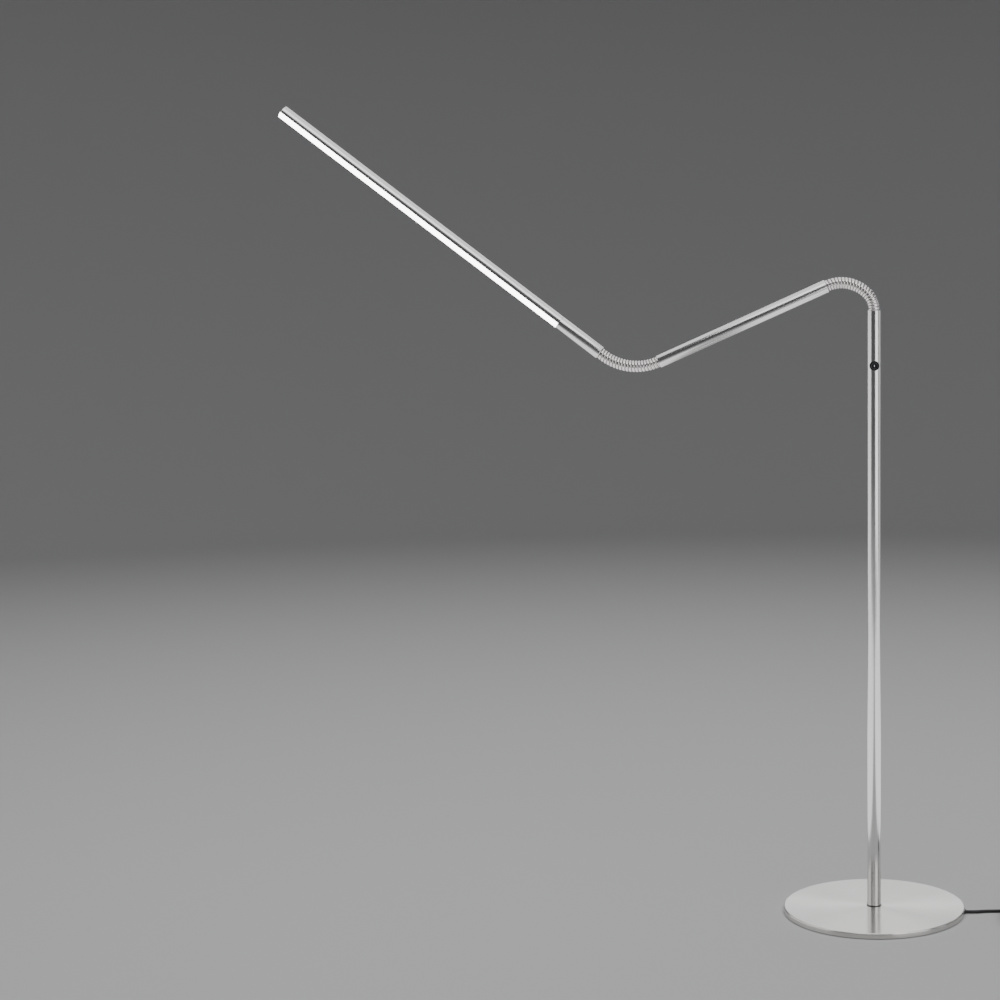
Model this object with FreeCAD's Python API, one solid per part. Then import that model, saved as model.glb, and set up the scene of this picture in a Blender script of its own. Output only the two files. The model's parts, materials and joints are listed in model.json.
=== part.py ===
"""Gooseneck reading floor lamp: a heavy round base, a slim pole with a push button, a short ribbed
gooseneck, an arm, a second gooseneck and a long light bar with a diffuser along its underside.

Millimetres. Z is up, X points to the right and Y away from someone who faces the lamp. The origin is
the centre of the base's underside, on the pole's axis. The whole lamp lies in the XZ plane, so a
heading is an angle in that plane, measured from +X towards +Z.
"""
import FreeCAD, Part
import math
import os
from FreeCAD import Matrix, Placement, Vector

os.makedirs("parts", exist_ok=True)

# ---- Tubes -------------------------------------------------------------------------------------
TUBE_R = 11.0            # pole, arm, collar and light bar share one outside radius
TUBE_WALL = 1.2
BORE_R = TUBE_R - TUBE_WALL
FIT = 0.05               # radial clearance of what is pressed or screwed into a tube
EASE = 0.4               # broken edge of a turned or sawn part

# ---- Base --------------------------------------------------------------------------------------
BASE_R = 150.0
PAD_TOP = 0.8            # soft pad under the whole base
WEIGHT_TOP = 8.5
BASE_TOP = 9.5           # top of the pressed cover
COVER_WALL = 1.0
RIM_ROUNDING = 2.0
PAD_R = 146.0
RECESS_R = 17.0          # room for the nut in the weight's underside
RECESS_TOP = 5.0
STUD_R = 5.0
STUD_BORE_R = 3.5
FOOT_RING_R = 12.4
FOOT_RING_HEIGHT = 1.0
POLE_FOOT = BASE_TOP + FOOT_RING_HEIGHT
POLE_TOP = 997.0

# ---- Supply cord -------------------------------------------------------------------------------
CORD_R = 2.5
EXIT_ANGLE = math.radians(-6.0)   # where the cord leaves the rim, seen from above
EXIT_Z = 3.3
CORD_INNER_END = 21.0             # where the cord's sheath is stripped, inside the base
GROMMET_OUT = 1.5                 # how far the grommet stands out of the rim
NOTCH_WIDTH = 9.0
NOTCH_TOP = 7.2
GROOVE_WIDTH = 5.6
CORD_ROUTE = [                    # from the rim along the floor to the coil
    Vector(164.1, -17.25, 3.3),
    Vector(183.0, -11.2, 2.55),
    Vector(205.5, -10.0, 2.55),
    Vector(228.0, -10.5, 2.55),
    Vector(250.0, -10.5, 2.55),
]
COIL_CENTRE = (262.0, 24.5)
COIL_OUTER_R = 35.0               # at the middle of the cord
COIL_STEP = 5.6                   # from turn to turn and from layer to layer
COIL_LAYER_TURNS = 2.5
COIL_TURNS = 9.75
COIL_STRAIGHT = 12.0              # straight start and end of the coil
ADAPTOR_SLEEVE = 30.0             # tapered sleeve on the wall adaptor
ADAPTOR_SIZE = (30.0, 68.0)

# ---- Switch ------------------------------------------------------------------------------------
BUTTON_Z = 905.0
BEZEL_R = 8.2
CAP_R = 6.4
BUTTON_TRAVEL = 1.0

# ---- Goosenecks --------------------------------------------------------------------------------
RIB_PITCH = 5.2
NECK_RIBS = 20                    # ribs in the open; one more is hidden in each tube
NECK_LENGTH = NECK_RIBS * RIB_PITCH
CREST_R = 9.5
ROOT_R = 8.6
NECK_BORE_R = 4.75
LEAD_R = 0.9
SECTION_RIBS = [3, 4, 4, 4, 4, 3]  # the end sections include their hidden rib
SOCKET_DEPTH = 24.0

# ---- The lamp's pose ---------------------------------------------------------------------------
ARM_HEADING = 204.2
ARM_LENGTH = 306.0
HEAD_HEADING = 142.75
COLLAR_LENGTH = 84.0
SEAM_GAP = 0.4
HEAD_LENGTH = 662.0               # collar and light bar together
UPPER_TIGHT_R = 40.0              # the upper neck bends more tightly beside the pole
UPPER_TIGHT_TURN = 46.0
LOWER_R = 91.0

# ---- Light bar section, across the bar ---------------------------------------------------------
BAR_CHORD = -2.0                  # below this the diffuser takes the metal's place
LIP_THICK = 1.2
LIP_REACH = 8.7
WEB_LOW = 1.0                     # cross wall that carries the LED board
WEB_HIGH = 2.2
BOARD_HALF = 6.0
DIFFUSER_WALL = 1.4
CAP_THICK = 2.0
CHIP_PITCH = 16.0


# ---- Helpers -----------------------------------------------------------------------------------
def along(heading):
    """Unit vector of a heading."""
    return Vector(math.cos(math.radians(heading)), 0, math.sin(math.radians(heading)))


def frame(origin, heading):
    """Placement that lays local X along the heading, with local Z on its upper side."""
    x = along(heading)
    z = Vector(x.z, 0, -x.x)
    y = z.cross(x)
    return Placement(Matrix(x.x, y.x, z.x, origin.x,
                            x.y, y.y, z.y, origin.y,
                            x.z, y.z, z.z, origin.z,
                            0, 0, 0, 1))


def placed(shape, origin, heading):
    moved = shape.copy()
    moved.Placement = frame(origin, heading).multiply(moved.Placement)
    return moved


def turned(outline):
    """Solid of revolution about local X, from (along, radius) points of a closed outline."""
    points = [Vector(a, 0, r) for a, r in outline]
    face = Part.Face(Part.makePolygon(points + points[:1]))
    return face.revolve(Vector(0, 0, 0), Vector(1, 0, 0), 360)


def rod(radius, start, end, ease=0.0):
    """Round bar along local X, with its end edges broken."""
    if not ease:
        return Part.makeCylinder(radius, end - start, Vector(start, 0, 0), Vector(1, 0, 0))
    return turned([(start, 0), (start, radius - ease), (start + ease, radius),
                   (end - ease, radius), (end, radius - ease), (end, 0)])


def pipe(outer, inner, start, end, ease=0.0):
    return rod(outer, start, end, ease).cut(rod(inner, start - 1, end + 1))


def block(low, high):
    size = high - low
    return Part.makeBox(size.x, size.y, size.z, low)


def segment_face(radius, chord, upper):
    """Face across local X at X = 0: the part of a disc above or below the line Z = chord."""
    half = math.sqrt(radius ** 2 - chord ** 2)
    middle = Vector(0, 0, radius if upper else -radius)
    left = Vector(0, -half, chord)
    right = Vector(0, half, chord)
    arc = Part.Arc(left, middle, right).toShape()
    return Part.Face(Part.Wire([arc, Part.LineSegment(right, left).toShape()]))


def segment_bar(radius, chord, upper, start, end):
    bar = segment_face(radius, chord, upper).extrude(Vector(end - start, 0, 0))
    bar.translate(Vector(start, 0, 0))
    return bar


def ring_at(radius, at, heading_vector, steady):
    """Circle square to heading_vector whose first point lies along the steady direction."""
    side = heading_vector.cross(steady)
    circle = Part.Circle(Vector(0, 0, 0), Vector(0, 0, 1), radius).toShape()
    circle.Placement = Placement(Matrix(steady.x, side.x, heading_vector.x, at.x,
                                        steady.y, side.y, heading_vector.y, at.y,
                                        steady.z, side.z, heading_vector.z, at.z,
                                        0, 0, 0, 1))
    return Part.Wire([circle])


def swept(edges, radius, name):
    """Round tube along joined straight and round edges."""
    wire = Part.Wire(edges)
    start = edges[0].Vertexes[0].Point
    tangent = edges[0].tangentAt(edges[0].FirstParameter)
    profile = Part.Wire([Part.Circle(start, tangent, radius).toShape()])
    solid = wire.makePipeShell([profile], True, False)
    ideal = math.pi * radius ** 2 * wire.Length
    print(f"{name}: length {wire.Length:.1f} mm, volume over section times length "
          f"{solid.Volume / ideal:.4f}")
    return solid


def route_edges(points, name=""):
    """Straight runs joined by tangent arcs, each as large as its two runs allow."""
    edges = []
    radii = []
    last = points[0]
    for before, corner, after in zip(points, points[1:], points[2:]):
        run_in = corner - before
        run_out = after - corner
        half_turn = run_in.getAngle(run_out) / 2
        cut = 0.45 * min(run_in.Length, run_out.Length)
        radii.append(cut / math.tan(half_turn))
        start = corner - run_in.normalize() * cut
        end = corner + run_out.normalize() * cut
        middle = arc_middle(start, corner, end)
        edges.append(Part.LineSegment(last, start).toShape())
        edges.append(Part.Arc(start, middle, end).toShape())
        last = end
    edges.append(Part.LineSegment(last, points[-1]).toShape())
    if name:
        print(f"{name}: bend radii", ", ".join(f"{r:.0f}" for r in radii), "mm")
    return edges


def arc_middle(start, corner, end):
    """Middle of the arc that leaves start towards corner and arrives at end from it."""
    weight = start.distanceToPoint(end) / (2 * start.distanceToPoint(corner))
    return (start + end + corner * (2 * weight)) * (1 / (2 + 2 * weight))


def biarc(start, leaving, end, arriving):
    """Two arcs that join two points with given unit directions."""
    reach = end - start
    both = leaving + arriving
    a = 4 - both.dot(both)
    b = reach.dot(both)
    step = (math.sqrt(b * b + a * reach.dot(reach)) - b) / a
    first = start + leaving * step
    second = end - arriving * step
    joint = (first + second) * 0.5
    return [Part.Arc(start, arc_middle(start, first, joint), joint).toShape(),
            Part.Arc(joint, arc_middle(joint, second, end), end).toShape()]


def save(name, shape):
    if not shape.isValid():
        raise ValueError(name + " is not valid")
    shape.exportStep(f"parts/{name}.step")
    print(f"{name}: {len(shape.Solids)} solid(s), {shape.Volume:.0f} mm3")


# ---- Gooseneck centrelines ---------------------------------------------------------------------
class Centreline:
    """Arcs and straights in the XZ plane, from a start point and heading."""

    def __init__(self, start, heading, pieces):
        self.start = start
        self.heading = heading
        self.pieces = pieces            # (length, turn in degrees, positive from +X to +Z)

    def at(self, distance):
        """Point and heading at a distance; before the start and past the end it runs straight."""
        point = self.start
        heading = self.heading
        if distance <= 0:
            return point + along(heading) * distance, heading
        for length, turn in self.pieces:
            share = min(distance, length) / length
            step = share * math.radians(turn)
            chord = share * length if not turn else 2 * length / math.radians(turn) * math.sin(step / 2)
            point = point + along(heading + math.degrees(step) / 2) * chord
            heading += math.degrees(step)
            distance -= share * length
            if distance <= 0:
                return point, heading
        return point + along(heading) * distance, heading


def arc_length(radius, turn):
    return radius * math.radians(abs(turn))


upper_turn = ARM_HEADING - 90.0
tight_length = arc_length(UPPER_TIGHT_R, UPPER_TIGHT_TURN)
upper_line = Centreline(Vector(0, 0, POLE_TOP), 90.0,
                        [(tight_length, UPPER_TIGHT_TURN),
                         (NECK_LENGTH - tight_length, upper_turn - UPPER_TIGHT_TURN)])
arm_start = upper_line.at(NECK_LENGTH)[0]
arm_end = arm_start + along(ARM_HEADING) * ARM_LENGTH

lower_turn = HEAD_HEADING - ARM_HEADING
lower_arc = arc_length(LOWER_R, lower_turn)
lower_line = Centreline(arm_end, ARM_HEADING,
                        [(lower_arc, lower_turn), (NECK_LENGTH - lower_arc, 0.0)])
head_start = lower_line.at(NECK_LENGTH)[0]
head_end = head_start + along(HEAD_HEADING) * HEAD_LENGTH


def neck_cuts():
    """Distances along a neck where its sections meet, hidden ribs included."""
    cuts = [-RIB_PITCH]
    for ribs in SECTION_RIBS:
        cuts.append(cuts[-1] + ribs * RIB_PITCH)
    return cuts


def neck_pivots():
    """Middles of the open neck's equal fifths, where its sections turn."""
    count = len(SECTION_RIBS) - 1
    return [(i + 0.5) * NECK_LENGTH / count for i in range(count)]


# ---- Base --------------------------------------------------------------------------------------
UP = 90.0
FLOOR = Vector(0, 0, 0)
exit_way = Vector(math.cos(EXIT_ANGLE), math.sin(EXIT_ANGLE), 0)


def towards_exit(shape):
    """Turn what is modelled along +X to the direction in which the cord leaves."""
    return shape.rotate(Vector(0, 0, 0), Vector(0, 0, 1), math.degrees(EXIT_ANGLE))


def arch(width, low, top, start, end):
    """Bar along +X with an arched top, as a mouse hole's shape."""
    radius = width / 2
    spring = top - radius
    outline = [Part.LineSegment(Vector(start, -radius, low), Vector(start, radius, low)),
               Part.LineSegment(Vector(start, radius, low), Vector(start, radius, spring)),
               Part.Arc(Vector(start, radius, spring), Vector(start, 0, top),
                        Vector(start, -radius, spring)),
               Part.LineSegment(Vector(start, -radius, spring), Vector(start, -radius, low))]
    face = Part.Face(Part.Wire([line.toShape() for line in outline]))
    return towards_exit(face.extrude(Vector(end - start, 0, 0)))


def base_cover():
    """Pressed sheet cover: flat top, rounded edge, short rim."""
    shell = placed(rod(BASE_R, PAD_TOP, BASE_TOP), FLOOR, UP)
    rim = [e for e in shell.Edges if abs(e.CenterOfMass.z - BASE_TOP) < 0.01 and e.Closed]
    shell = shell.makeFillet(RIM_ROUNDING, rim)
    inside = placed(rod(BASE_R - COVER_WALL, 0, BASE_TOP - COVER_WALL), FLOOR, UP)
    rim = [e for e in inside.Edges
           if abs(e.CenterOfMass.z - BASE_TOP + COVER_WALL) < 0.01 and e.Closed]
    inside = inside.makeFillet(RIM_ROUNDING - COVER_WALL, rim)
    shell = shell.cut(inside).cut(placed(rod(STUD_R + 0.3, 0, 2 * BASE_TOP), FLOOR, UP))
    return shell.cut(arch(NOTCH_WIDTH, -1, NOTCH_TOP, BASE_R - 12, BASE_R + 5))


def base_weight():
    """Iron disc with a nut recess and a cord groove in its underside."""
    radius = BASE_R - COVER_WALL - 0.4
    disc = placed(turned([(PAD_TOP, 0), (PAD_TOP, radius - 0.6), (PAD_TOP + 0.6, radius),
                          (WEIGHT_TOP - 1.2, radius), (WEIGHT_TOP, radius - 1.2),
                          (WEIGHT_TOP, 0)]), FLOOR, UP)
    disc = disc.cut(placed(rod(STUD_R + 2 * FIT, 0, BASE_TOP), FLOOR, UP))
    disc = disc.cut(placed(rod(RECESS_R, 0, RECESS_TOP), FLOOR, UP))
    disc = disc.cut(arch(GROOVE_WIDTH, 0, EXIT_Z + GROOVE_WIDTH / 2, 5, BASE_R))
    disc = disc.cut(arch(NOTCH_WIDTH, 0, NOTCH_TOP, BASE_R - 12, BASE_R))
    return disc.cut(arch(NOTCH_WIDTH, 0, NOTCH_TOP, 24, 34))


def cord_bushing(start, end):
    """Block in the cord's groove with the cord through it."""
    body = arch(NOTCH_WIDTH - 0.2, PAD_TOP, NOTCH_TOP - 0.1, start, end)
    way = Part.makeCylinder(CORD_R + FIT, 60, Vector(start - 20, 0, EXIT_Z), Vector(1, 0, 0))
    return body.cut(towards_exit(way))


def base_cord():
    """The cord's stretch in the groove, from its stripped end to the grommet's face."""
    start = exit_way * CORD_INNER_END + Vector(0, 0, EXIT_Z)
    return Part.makeCylinder(CORD_R, BASE_R + GROMMET_OUT - CORD_INNER_END, start, exit_way)


def supply_cord():
    """The cord in the open, from the grommet to the coil."""
    first = exit_way * (BASE_R + GROMMET_OUT) + Vector(0, 0, EXIT_Z)
    return swept(route_edges([first] + CORD_ROUTE, "supply_cord"), CORD_R, "supply_cord")


def coil_point(turns):
    """Point of the coil: it spirals in and out and climbs where the spiral reverses."""
    layer_at = turns / COIL_LAYER_TURNS
    layer = math.floor(layer_at + 1e-9)
    inwards = layer_at - layer
    if layer % 2:
        inwards = 1 - inwards
    radius = COIL_OUTER_R - COIL_STEP * COIL_LAYER_TURNS * inwards
    nearest = round(layer_at)
    climb = 0.0
    if nearest > 0:
        climb = max(-1.0, min(1.0, (turns - nearest * COIL_LAYER_TURNS) / 0.25))
    level = nearest - 0.5 + 0.5 * climb if nearest > 0 else 0.0
    angle = math.radians(360 * turns - 90)
    return Vector(COIL_CENTRE[0] + radius * math.cos(angle),
                  COIL_CENTRE[1] + radius * math.sin(angle),
                  CORD_ROUTE[-1].z + COIL_STEP * level)


def coil_edges():
    """Straight start, then biarcs of a quarter turn; where the coil climbs, of a half turn."""
    stations = []
    turns = 0.0
    while turns < COIL_TURNS + 0.01:
        middle_of_climb = turns > 1 and abs(turns / COIL_LAYER_TURNS - round(turns / COIL_LAYER_TURNS)) < 0.01
        if not middle_of_climb:
            stations.append(turns)
        turns += 0.25
    points = [coil_point(t) for t in stations]
    ways = []
    for t in stations:
        way = coil_point(t + 0.02) - coil_point(t - 0.02)
        way.z = 0
        ways.append(way.normalize())
    ways[0] = Vector(1, 0, 0)
    ways[-1] = Vector(0, -1, 0)
    start = points[0] - ways[0] * COIL_STRAIGHT
    edges = [Part.LineSegment(start, points[0]).toShape()]
    for p, q, way_p, way_q in zip(points, points[1:], ways, ways[1:]):
        edges += biarc(p, way_p, q, way_q)
    end = points[-1] + ways[-1] * COIL_STRAIGHT
    return edges + [Part.LineSegment(points[-1], end).toShape()], end


def least_gap(edges):
    """Least gap between the coil's own turns, from points along it."""
    points = []
    lengths = []
    run = 0.0
    for edge in edges:
        count = max(2, int(edge.Length / 1.5))
        for point in edge.discretize(count)[:-1]:
            points.append(point)
            lengths.append(run)
            run += edge.Length / (count - 1)
    least = 1e9
    for i, (point, at) in enumerate(zip(points, lengths)):
        for j in range(i + 1, len(points)):
            if lengths[j] - at > 12 * CORD_R:
                least = min(least, point.distanceToPoint(points[j]))
    return least - 2 * CORD_R


def supply_cord_coil():
    edges, end = coil_edges()
    print(f"supply_cord_coil: least gap to itself {least_gap(edges):.2f} mm")
    return swept(edges, CORD_R, "supply_cord_coil"), end


def wall_adaptor(end):
    """Plug-in driver lying on its side, with its pins and the cord's tapered sleeve."""
    width, length = ADAPTOR_SIZE
    low = Vector(end.x - width / 2, end.y - ADAPTOR_SLEEVE - length, 0)
    high = Vector(end.x + width / 2, end.y - ADAPTOR_SLEEVE, 2 * end.z)
    body = block(low, high)
    body = body.makeFillet(4.0, [e for e in body.Edges if e.Length > 60])
    rest = [e for e in body.Edges if abs(e.CenterOfMass.y - low.y) < 0.01
            or abs(e.CenterOfMass.y - high.y) < 0.01]
    body = body.makeChamfer(1.2, rest)
    pins = []
    for offset in (-9.5, 9.5):
        foot = Vector(high.x, low.y + 20, end.z + offset)
        pin = rod(2.0, 0, 19, EASE)
        pin.Placement = Placement(foot, FreeCAD.Rotation())
        pins.append(pin)
    sleeve = turned([(0, 0), (0, CORD_R + 0.6), (ADAPTOR_SLEEVE - 6, 4.4), (ADAPTOR_SLEEVE - 4, 5.8),
                     (ADAPTOR_SLEEVE, 5.8), (ADAPTOR_SLEEVE, 0)])
    sleeve.rotate(Vector(0, 0, 0), Vector(0, 0, 1), -90)
    sleeve.translate(end)
    return body, Part.makeCompound(pins), sleeve


# ---- Pole --------------------------------------------------------------------------------------
def pole_tube():
    tube = placed(pipe(TUBE_R, BORE_R, POLE_FOOT, POLE_TOP, EASE), FLOOR, UP)
    hole = Part.makeCylinder(BEZEL_R + 0.05, 2 * TUBE_R, Vector(0, -2 * TUBE_R, BUTTON_Z),
                             Vector(0, 1, 0))
    return tube.cut(hole)


def towards_viewer(shape):
    """Lay local X along +Y at the button's height."""
    shape.rotate(Vector(0, 0, 0), Vector(0, 0, 1), 90)
    shape.translate(Vector(0, 0, BUTTON_Z))
    return shape


def switch_bezel():
    ring = turned([(-12.0, 7.0), (-12.3, 7.4), (-12.3, 7.8), (-11.9, BEZEL_R), (-5.0, BEZEL_R),
                   (-5.0, 2.3), (-6.2, 2.3), (-6.2, CAP_R + 0.2), (-11.4, CAP_R + 0.2)])
    return towards_viewer(ring)


def switch_button():
    """Cap with a shallow dish and a stem that reaches the switch."""
    cap = turned([(-12.4, 0), (-12.5, 4.6), (-12.9, 5.4), (-12.6, 6.1), (-12.0, CAP_R),
                  (-9.6, CAP_R), (-9.6, 2.0), (-3.6, 2.0), (-3.6, 0)])
    return towards_viewer(cap)


def dimmer_board():
    """Circuit board with the tact switch behind the button and a choke below it."""
    board = block(Vector(-8, 1, BUTTON_Z - 45), Vector(8, 2.6, BUTTON_Z + 20))
    switch = block(Vector(-3, -2.0, BUTTON_Z - 3), Vector(3, 1, BUTTON_Z + 3))
    plunger = Part.makeCylinder(1.6, 0.5, Vector(0, -2.5, BUTTON_Z), Vector(0, 1, 0))
    choke = Part.makeCylinder(3.4, 6, Vector(0, 1, BUTTON_Z - 30), Vector(0, -1, 0))
    return board.fuse([switch, plunger, choke]).removeSplitter()


def pole_foot_plug():
    return placed(pipe(BORE_R - FIT, STUD_R, POLE_FOOT, POLE_FOOT + 22, EASE), FLOOR, UP)


def foot_ring():
    """Dark ring between the pole and the cover."""
    ring = turned([(BASE_TOP, STUD_R + 0.3), (BASE_TOP, FOOT_RING_R), (BASE_TOP + 0.5, FOOT_RING_R),
                   (POLE_FOOT, FOOT_RING_R - 0.5), (POLE_FOOT, STUD_R + 0.3)])
    return placed(ring, FLOOR, UP)


STUD_LOW = RECESS_TOP - 2.2


def pole_stud():
    return placed(pipe(STUD_R, STUD_BORE_R, STUD_LOW, POLE_FOOT + 18, EASE), FLOOR, UP)


def stud_nut():
    nut = Part.makePolygon([Vector(8 * math.cos(math.radians(60 * i)),
                                   8 * math.sin(math.radians(60 * i)), STUD_LOW)
                            for i in range(7)])
    nut = Part.Face(nut).extrude(Vector(0, 0, RECESS_TOP - STUD_LOW))
    return nut.cut(placed(rod(STUD_R, 0, BASE_TOP), FLOOR, UP))


def pole_lead():
    """Thin twin lead from the cord's stripped end, up through the stud to the board."""
    low = PAD_TOP + LEAD_R + 0.05
    bend = 4.0
    first = exit_way * CORD_INNER_END + Vector(0, 0, EXIT_Z)
    level = exit_way * (CORD_INNER_END - 3) + Vector(0, 0, EXIT_Z)
    flat = exit_way * 12.0 + Vector(0, 0, low)
    turn_in = exit_way * bend + Vector(0, 0, low)
    turn_out = Vector(0, 0, low + bend)
    edges = route_edges([first, level, flat, turn_in])
    edges.append(Part.Arc(turn_in, arc_middle(turn_in, Vector(0, 0, low), turn_out),
                          turn_out).toShape())
    top = Vector(0, 1.8, BUTTON_Z - 45)
    edges += route_edges([turn_out, Vector(0, 0, BUTTON_Z - 120), Vector(0, 1.8, BUTTON_Z - 80), top])
    return swept(edges, LEAD_R, "pole_lead")


def pole_feed():
    """Lead from the board to the neck."""
    points = [Vector(0, 1.8, BUTTON_Z + 20), Vector(0, 1.8, BUTTON_Z + 32),
              Vector(0, 0, BUTTON_Z + 55), Vector(0, 0, POLE_TOP - RIB_PITCH - SOCKET_DEPTH)]
    return swept(route_edges(points), LEAD_R, "pole_feed")


# ---- Necks -------------------------------------------------------------------------------------
def neck_section(line, start, ribs):
    """Ribbed stretch of a neck: lofted rings along its centreline, with the bore through it."""
    steady = Vector(0, 1, 0)
    rings = []
    for rib in range(ribs):
        for share, radius in ((0.0, ROOT_R), (0.22, CREST_R), (0.78, CREST_R)):
            point, heading = line.at(start + (rib + share) * RIB_PITCH)
            rings.append(ring_at(radius, point, along(heading), steady))
    point, heading = line.at(start + ribs * RIB_PITCH)
    rings.append(ring_at(ROOT_R, point, along(heading), steady))
    outside = Part.makeLoft(rings, True, True)
    bores = []
    for step in range(ribs + 1):
        point, heading = line.at(start + step * RIB_PITCH)
        bores.append(ring_at(NECK_BORE_R, point, along(heading), steady))
    return outside.cut(Part.makeLoft(bores, True, True))


def neck_edges(line):
    """Edges along the neck's centreline, hidden ends included."""
    edges = []
    point = line.at(-RIB_PITCH)[0]
    distance = 0.0
    entry = line.at(0)[0]
    edges.append(Part.LineSegment(point, entry).toShape())
    for length, turn in line.pieces:
        first = line.at(distance)[0]
        middle = line.at(distance + length / 2)[0]
        last = line.at(distance + length)[0]
        if turn:
            edges.append(Part.Arc(first, middle, last).toShape())
        else:
            edges.append(Part.LineSegment(first, last).toShape())
        distance += length
    last = line.at(NECK_LENGTH)[0]
    edges.append(Part.LineSegment(last, line.at(NECK_LENGTH + RIB_PITCH)[0]).toShape())
    return edges


def neck_socket(origin, heading):
    """Steel bush in a tube's end; its spigot goes into the neck's bore. Heading points outwards."""
    face = -RIB_PITCH
    bush = turned([(face - SOCKET_DEPTH, 2.2), (face - SOCKET_DEPTH, BORE_R - FIT - EASE),
                   (face - SOCKET_DEPTH + EASE, BORE_R - FIT), (face, BORE_R - FIT), (face, 4.4),
                   (face + 4.5, 4.4), (face + 5.0, 3.9), (face + 5.0, 2.2)])
    return placed(bush, origin, heading)


def straight_lead(length, inset):
    return rod(LEAD_R, inset, length - inset)


# ---- Head --------------------------------------------------------------------------------------
def in_head(shape):
    return placed(shape, head_start, HEAD_HEADING)


BAR_START = COLLAR_LENGTH + SEAM_GAP
METAL_END = HEAD_LENGTH - CAP_THICK
BOARD_START = BAR_START + 10
BOARD_END = HEAD_LENGTH - 8


def bar_housing():
    """Extruded round profile, open below, with a cross wall and two lips for the diffuser."""
    length = METAL_END - BAR_START
    outer = segment_bar(TUBE_R, BAR_CHORD, True, BAR_START, METAL_END)
    chamber = segment_bar(BORE_R, WEB_HIGH, True, BAR_START - 1, METAL_END + 1)
    lip_top = BAR_CHORD + LIP_THICK
    lower = segment_bar(BORE_R, lip_top, True, BAR_START - 1, METAL_END + 1)
    lower = lower.common(block(Vector(BAR_START - 2, -TUBE_R, lip_top),
                               Vector(METAL_END + 2, TUBE_R, WEB_LOW)))
    mouth = block(Vector(BAR_START - 1, -LIP_REACH, BAR_CHORD - 1),
                  Vector(METAL_END + 1, LIP_REACH, lip_top + 0.5))
    lead_hole = Part.makeCylinder(2.0, 4, Vector(BAR_START + 45, 0, WEB_LOW - 1), Vector(0, 0, 1))
    print(f"bar_housing: {length:.1f} mm long")
    return outer.cut([chamber, lower, mouth, lead_hole])


def bar_diffuser():
    """Opal shell flush with the housing, closed at both ends, with two legs behind the lips."""
    low_chord = BAR_CHORD - FIT
    outer = segment_bar(TUBE_R - 0.05, low_chord, False, BAR_START, HEAD_LENGTH)
    inner = segment_bar(TUBE_R - DIFFUSER_WALL, low_chord + 0.02, False,
                        BAR_START + DIFFUSER_WALL, HEAD_LENGTH - DIFFUSER_WALL)
    shell = outer.cut(inner)
    legs = []
    for side in (-1, 1):
        leg = block(Vector(BAR_START + 2, 7.4, low_chord - 3), Vector(METAL_END - 8, 8.5, 0.4))
        hook = block(Vector(BAR_START + 2, 8.4, BAR_CHORD + LIP_THICK + 0.1),
                     Vector(METAL_END - 8, 8.95, 0.4))
        for part in (leg, hook):
            if side < 0:
                part = part.mirror(Vector(0, 0, 0), Vector(0, 1, 0))
            legs.append(part)
    inside = segment_bar(TUBE_R - 0.4, low_chord, False, BAR_START, HEAD_LENGTH)
    above = block(Vector(BAR_START, -TUBE_R, low_chord), Vector(HEAD_LENGTH, TUBE_R, TUBE_R))
    legs = [leg.common(inside.fuse(above)) for leg in legs]
    return shell.fuse(legs).removeSplitter()


def led_board():
    return block(Vector(BOARD_START, -BOARD_HALF, 0), Vector(BOARD_END, BOARD_HALF, WEB_LOW)).cut(
        [Part.makeCylinder(1.1, 3, Vector(at, 0, -1), Vector(0, 0, 1)) for at in screw_places()])


def chip_places():
    count = int((BOARD_END - BOARD_START - CHIP_PITCH) / CHIP_PITCH)
    first = (BOARD_START + BOARD_END - (count - 1) * CHIP_PITCH) / 2
    return [first + i * CHIP_PITCH for i in range(count)]


def screw_places():
    """Board screws sit midway between chips, near the ends and the middle."""
    places = chip_places()
    return [places[i] + CHIP_PITCH / 2 for i in (0, len(places) // 2, len(places) - 2)]


def led_chips():
    return Part.makeCompound([block(Vector(at - 1.4, -1.75, -0.8), Vector(at + 1.4, 1.75, 0))
                              for at in chip_places()])


def board_screws():
    screws = []
    for at in screw_places():
        screw = turned([(-1.2, 0), (-1.2, 1.3), (-0.8, 1.9), (0, 1.9), (0, 1.05), (2.0, 1.05), (2.0, 0)])
        screw.rotate(Vector(0, 0, 0), Vector(0, 1, 0), -90)
        screw.translate(Vector(at, 0, 0))
        screws.append(screw)
    return Part.makeCompound(screws)


def tapped(housing):
    """The housing's cross wall with holes for the board screws."""
    return housing.cut([Part.makeCylinder(1.05, 1.0 + FIT, Vector(at, 0, WEB_LOW), Vector(0, 0, 1))
                        for at in screw_places()])


def bar_joiner():
    """Round plug in the collar with a tongue in the housing's upper chamber."""
    plug = rod(BORE_R - FIT, COLLAR_LENGTH - 16, COLLAR_LENGTH, EASE)
    disc = rod(BORE_R - FIT, COLLAR_LENGTH - 1, BAR_START)
    tongue = segment_bar(BORE_R - 0.1, WEB_HIGH + 0.1, True, COLLAR_LENGTH - 1, BAR_START + 18)
    way = rod(1.6, COLLAR_LENGTH - 20, BAR_START + 30)
    way.translate(Vector(0, 0, 5))
    return plug.fuse([disc, tongue]).cut(way).removeSplitter()


def bar_end_cap():
    """Plate over the housing's end with a tongue in its upper chamber."""
    plate = segment_bar(TUBE_R, BAR_CHORD, True, METAL_END, HEAD_LENGTH)
    tongue = segment_bar(BORE_R - 0.1, WEB_HIGH + 0.1, True, METAL_END - 8, METAL_END)
    return plate.fuse(tongue).removeSplitter()


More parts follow.
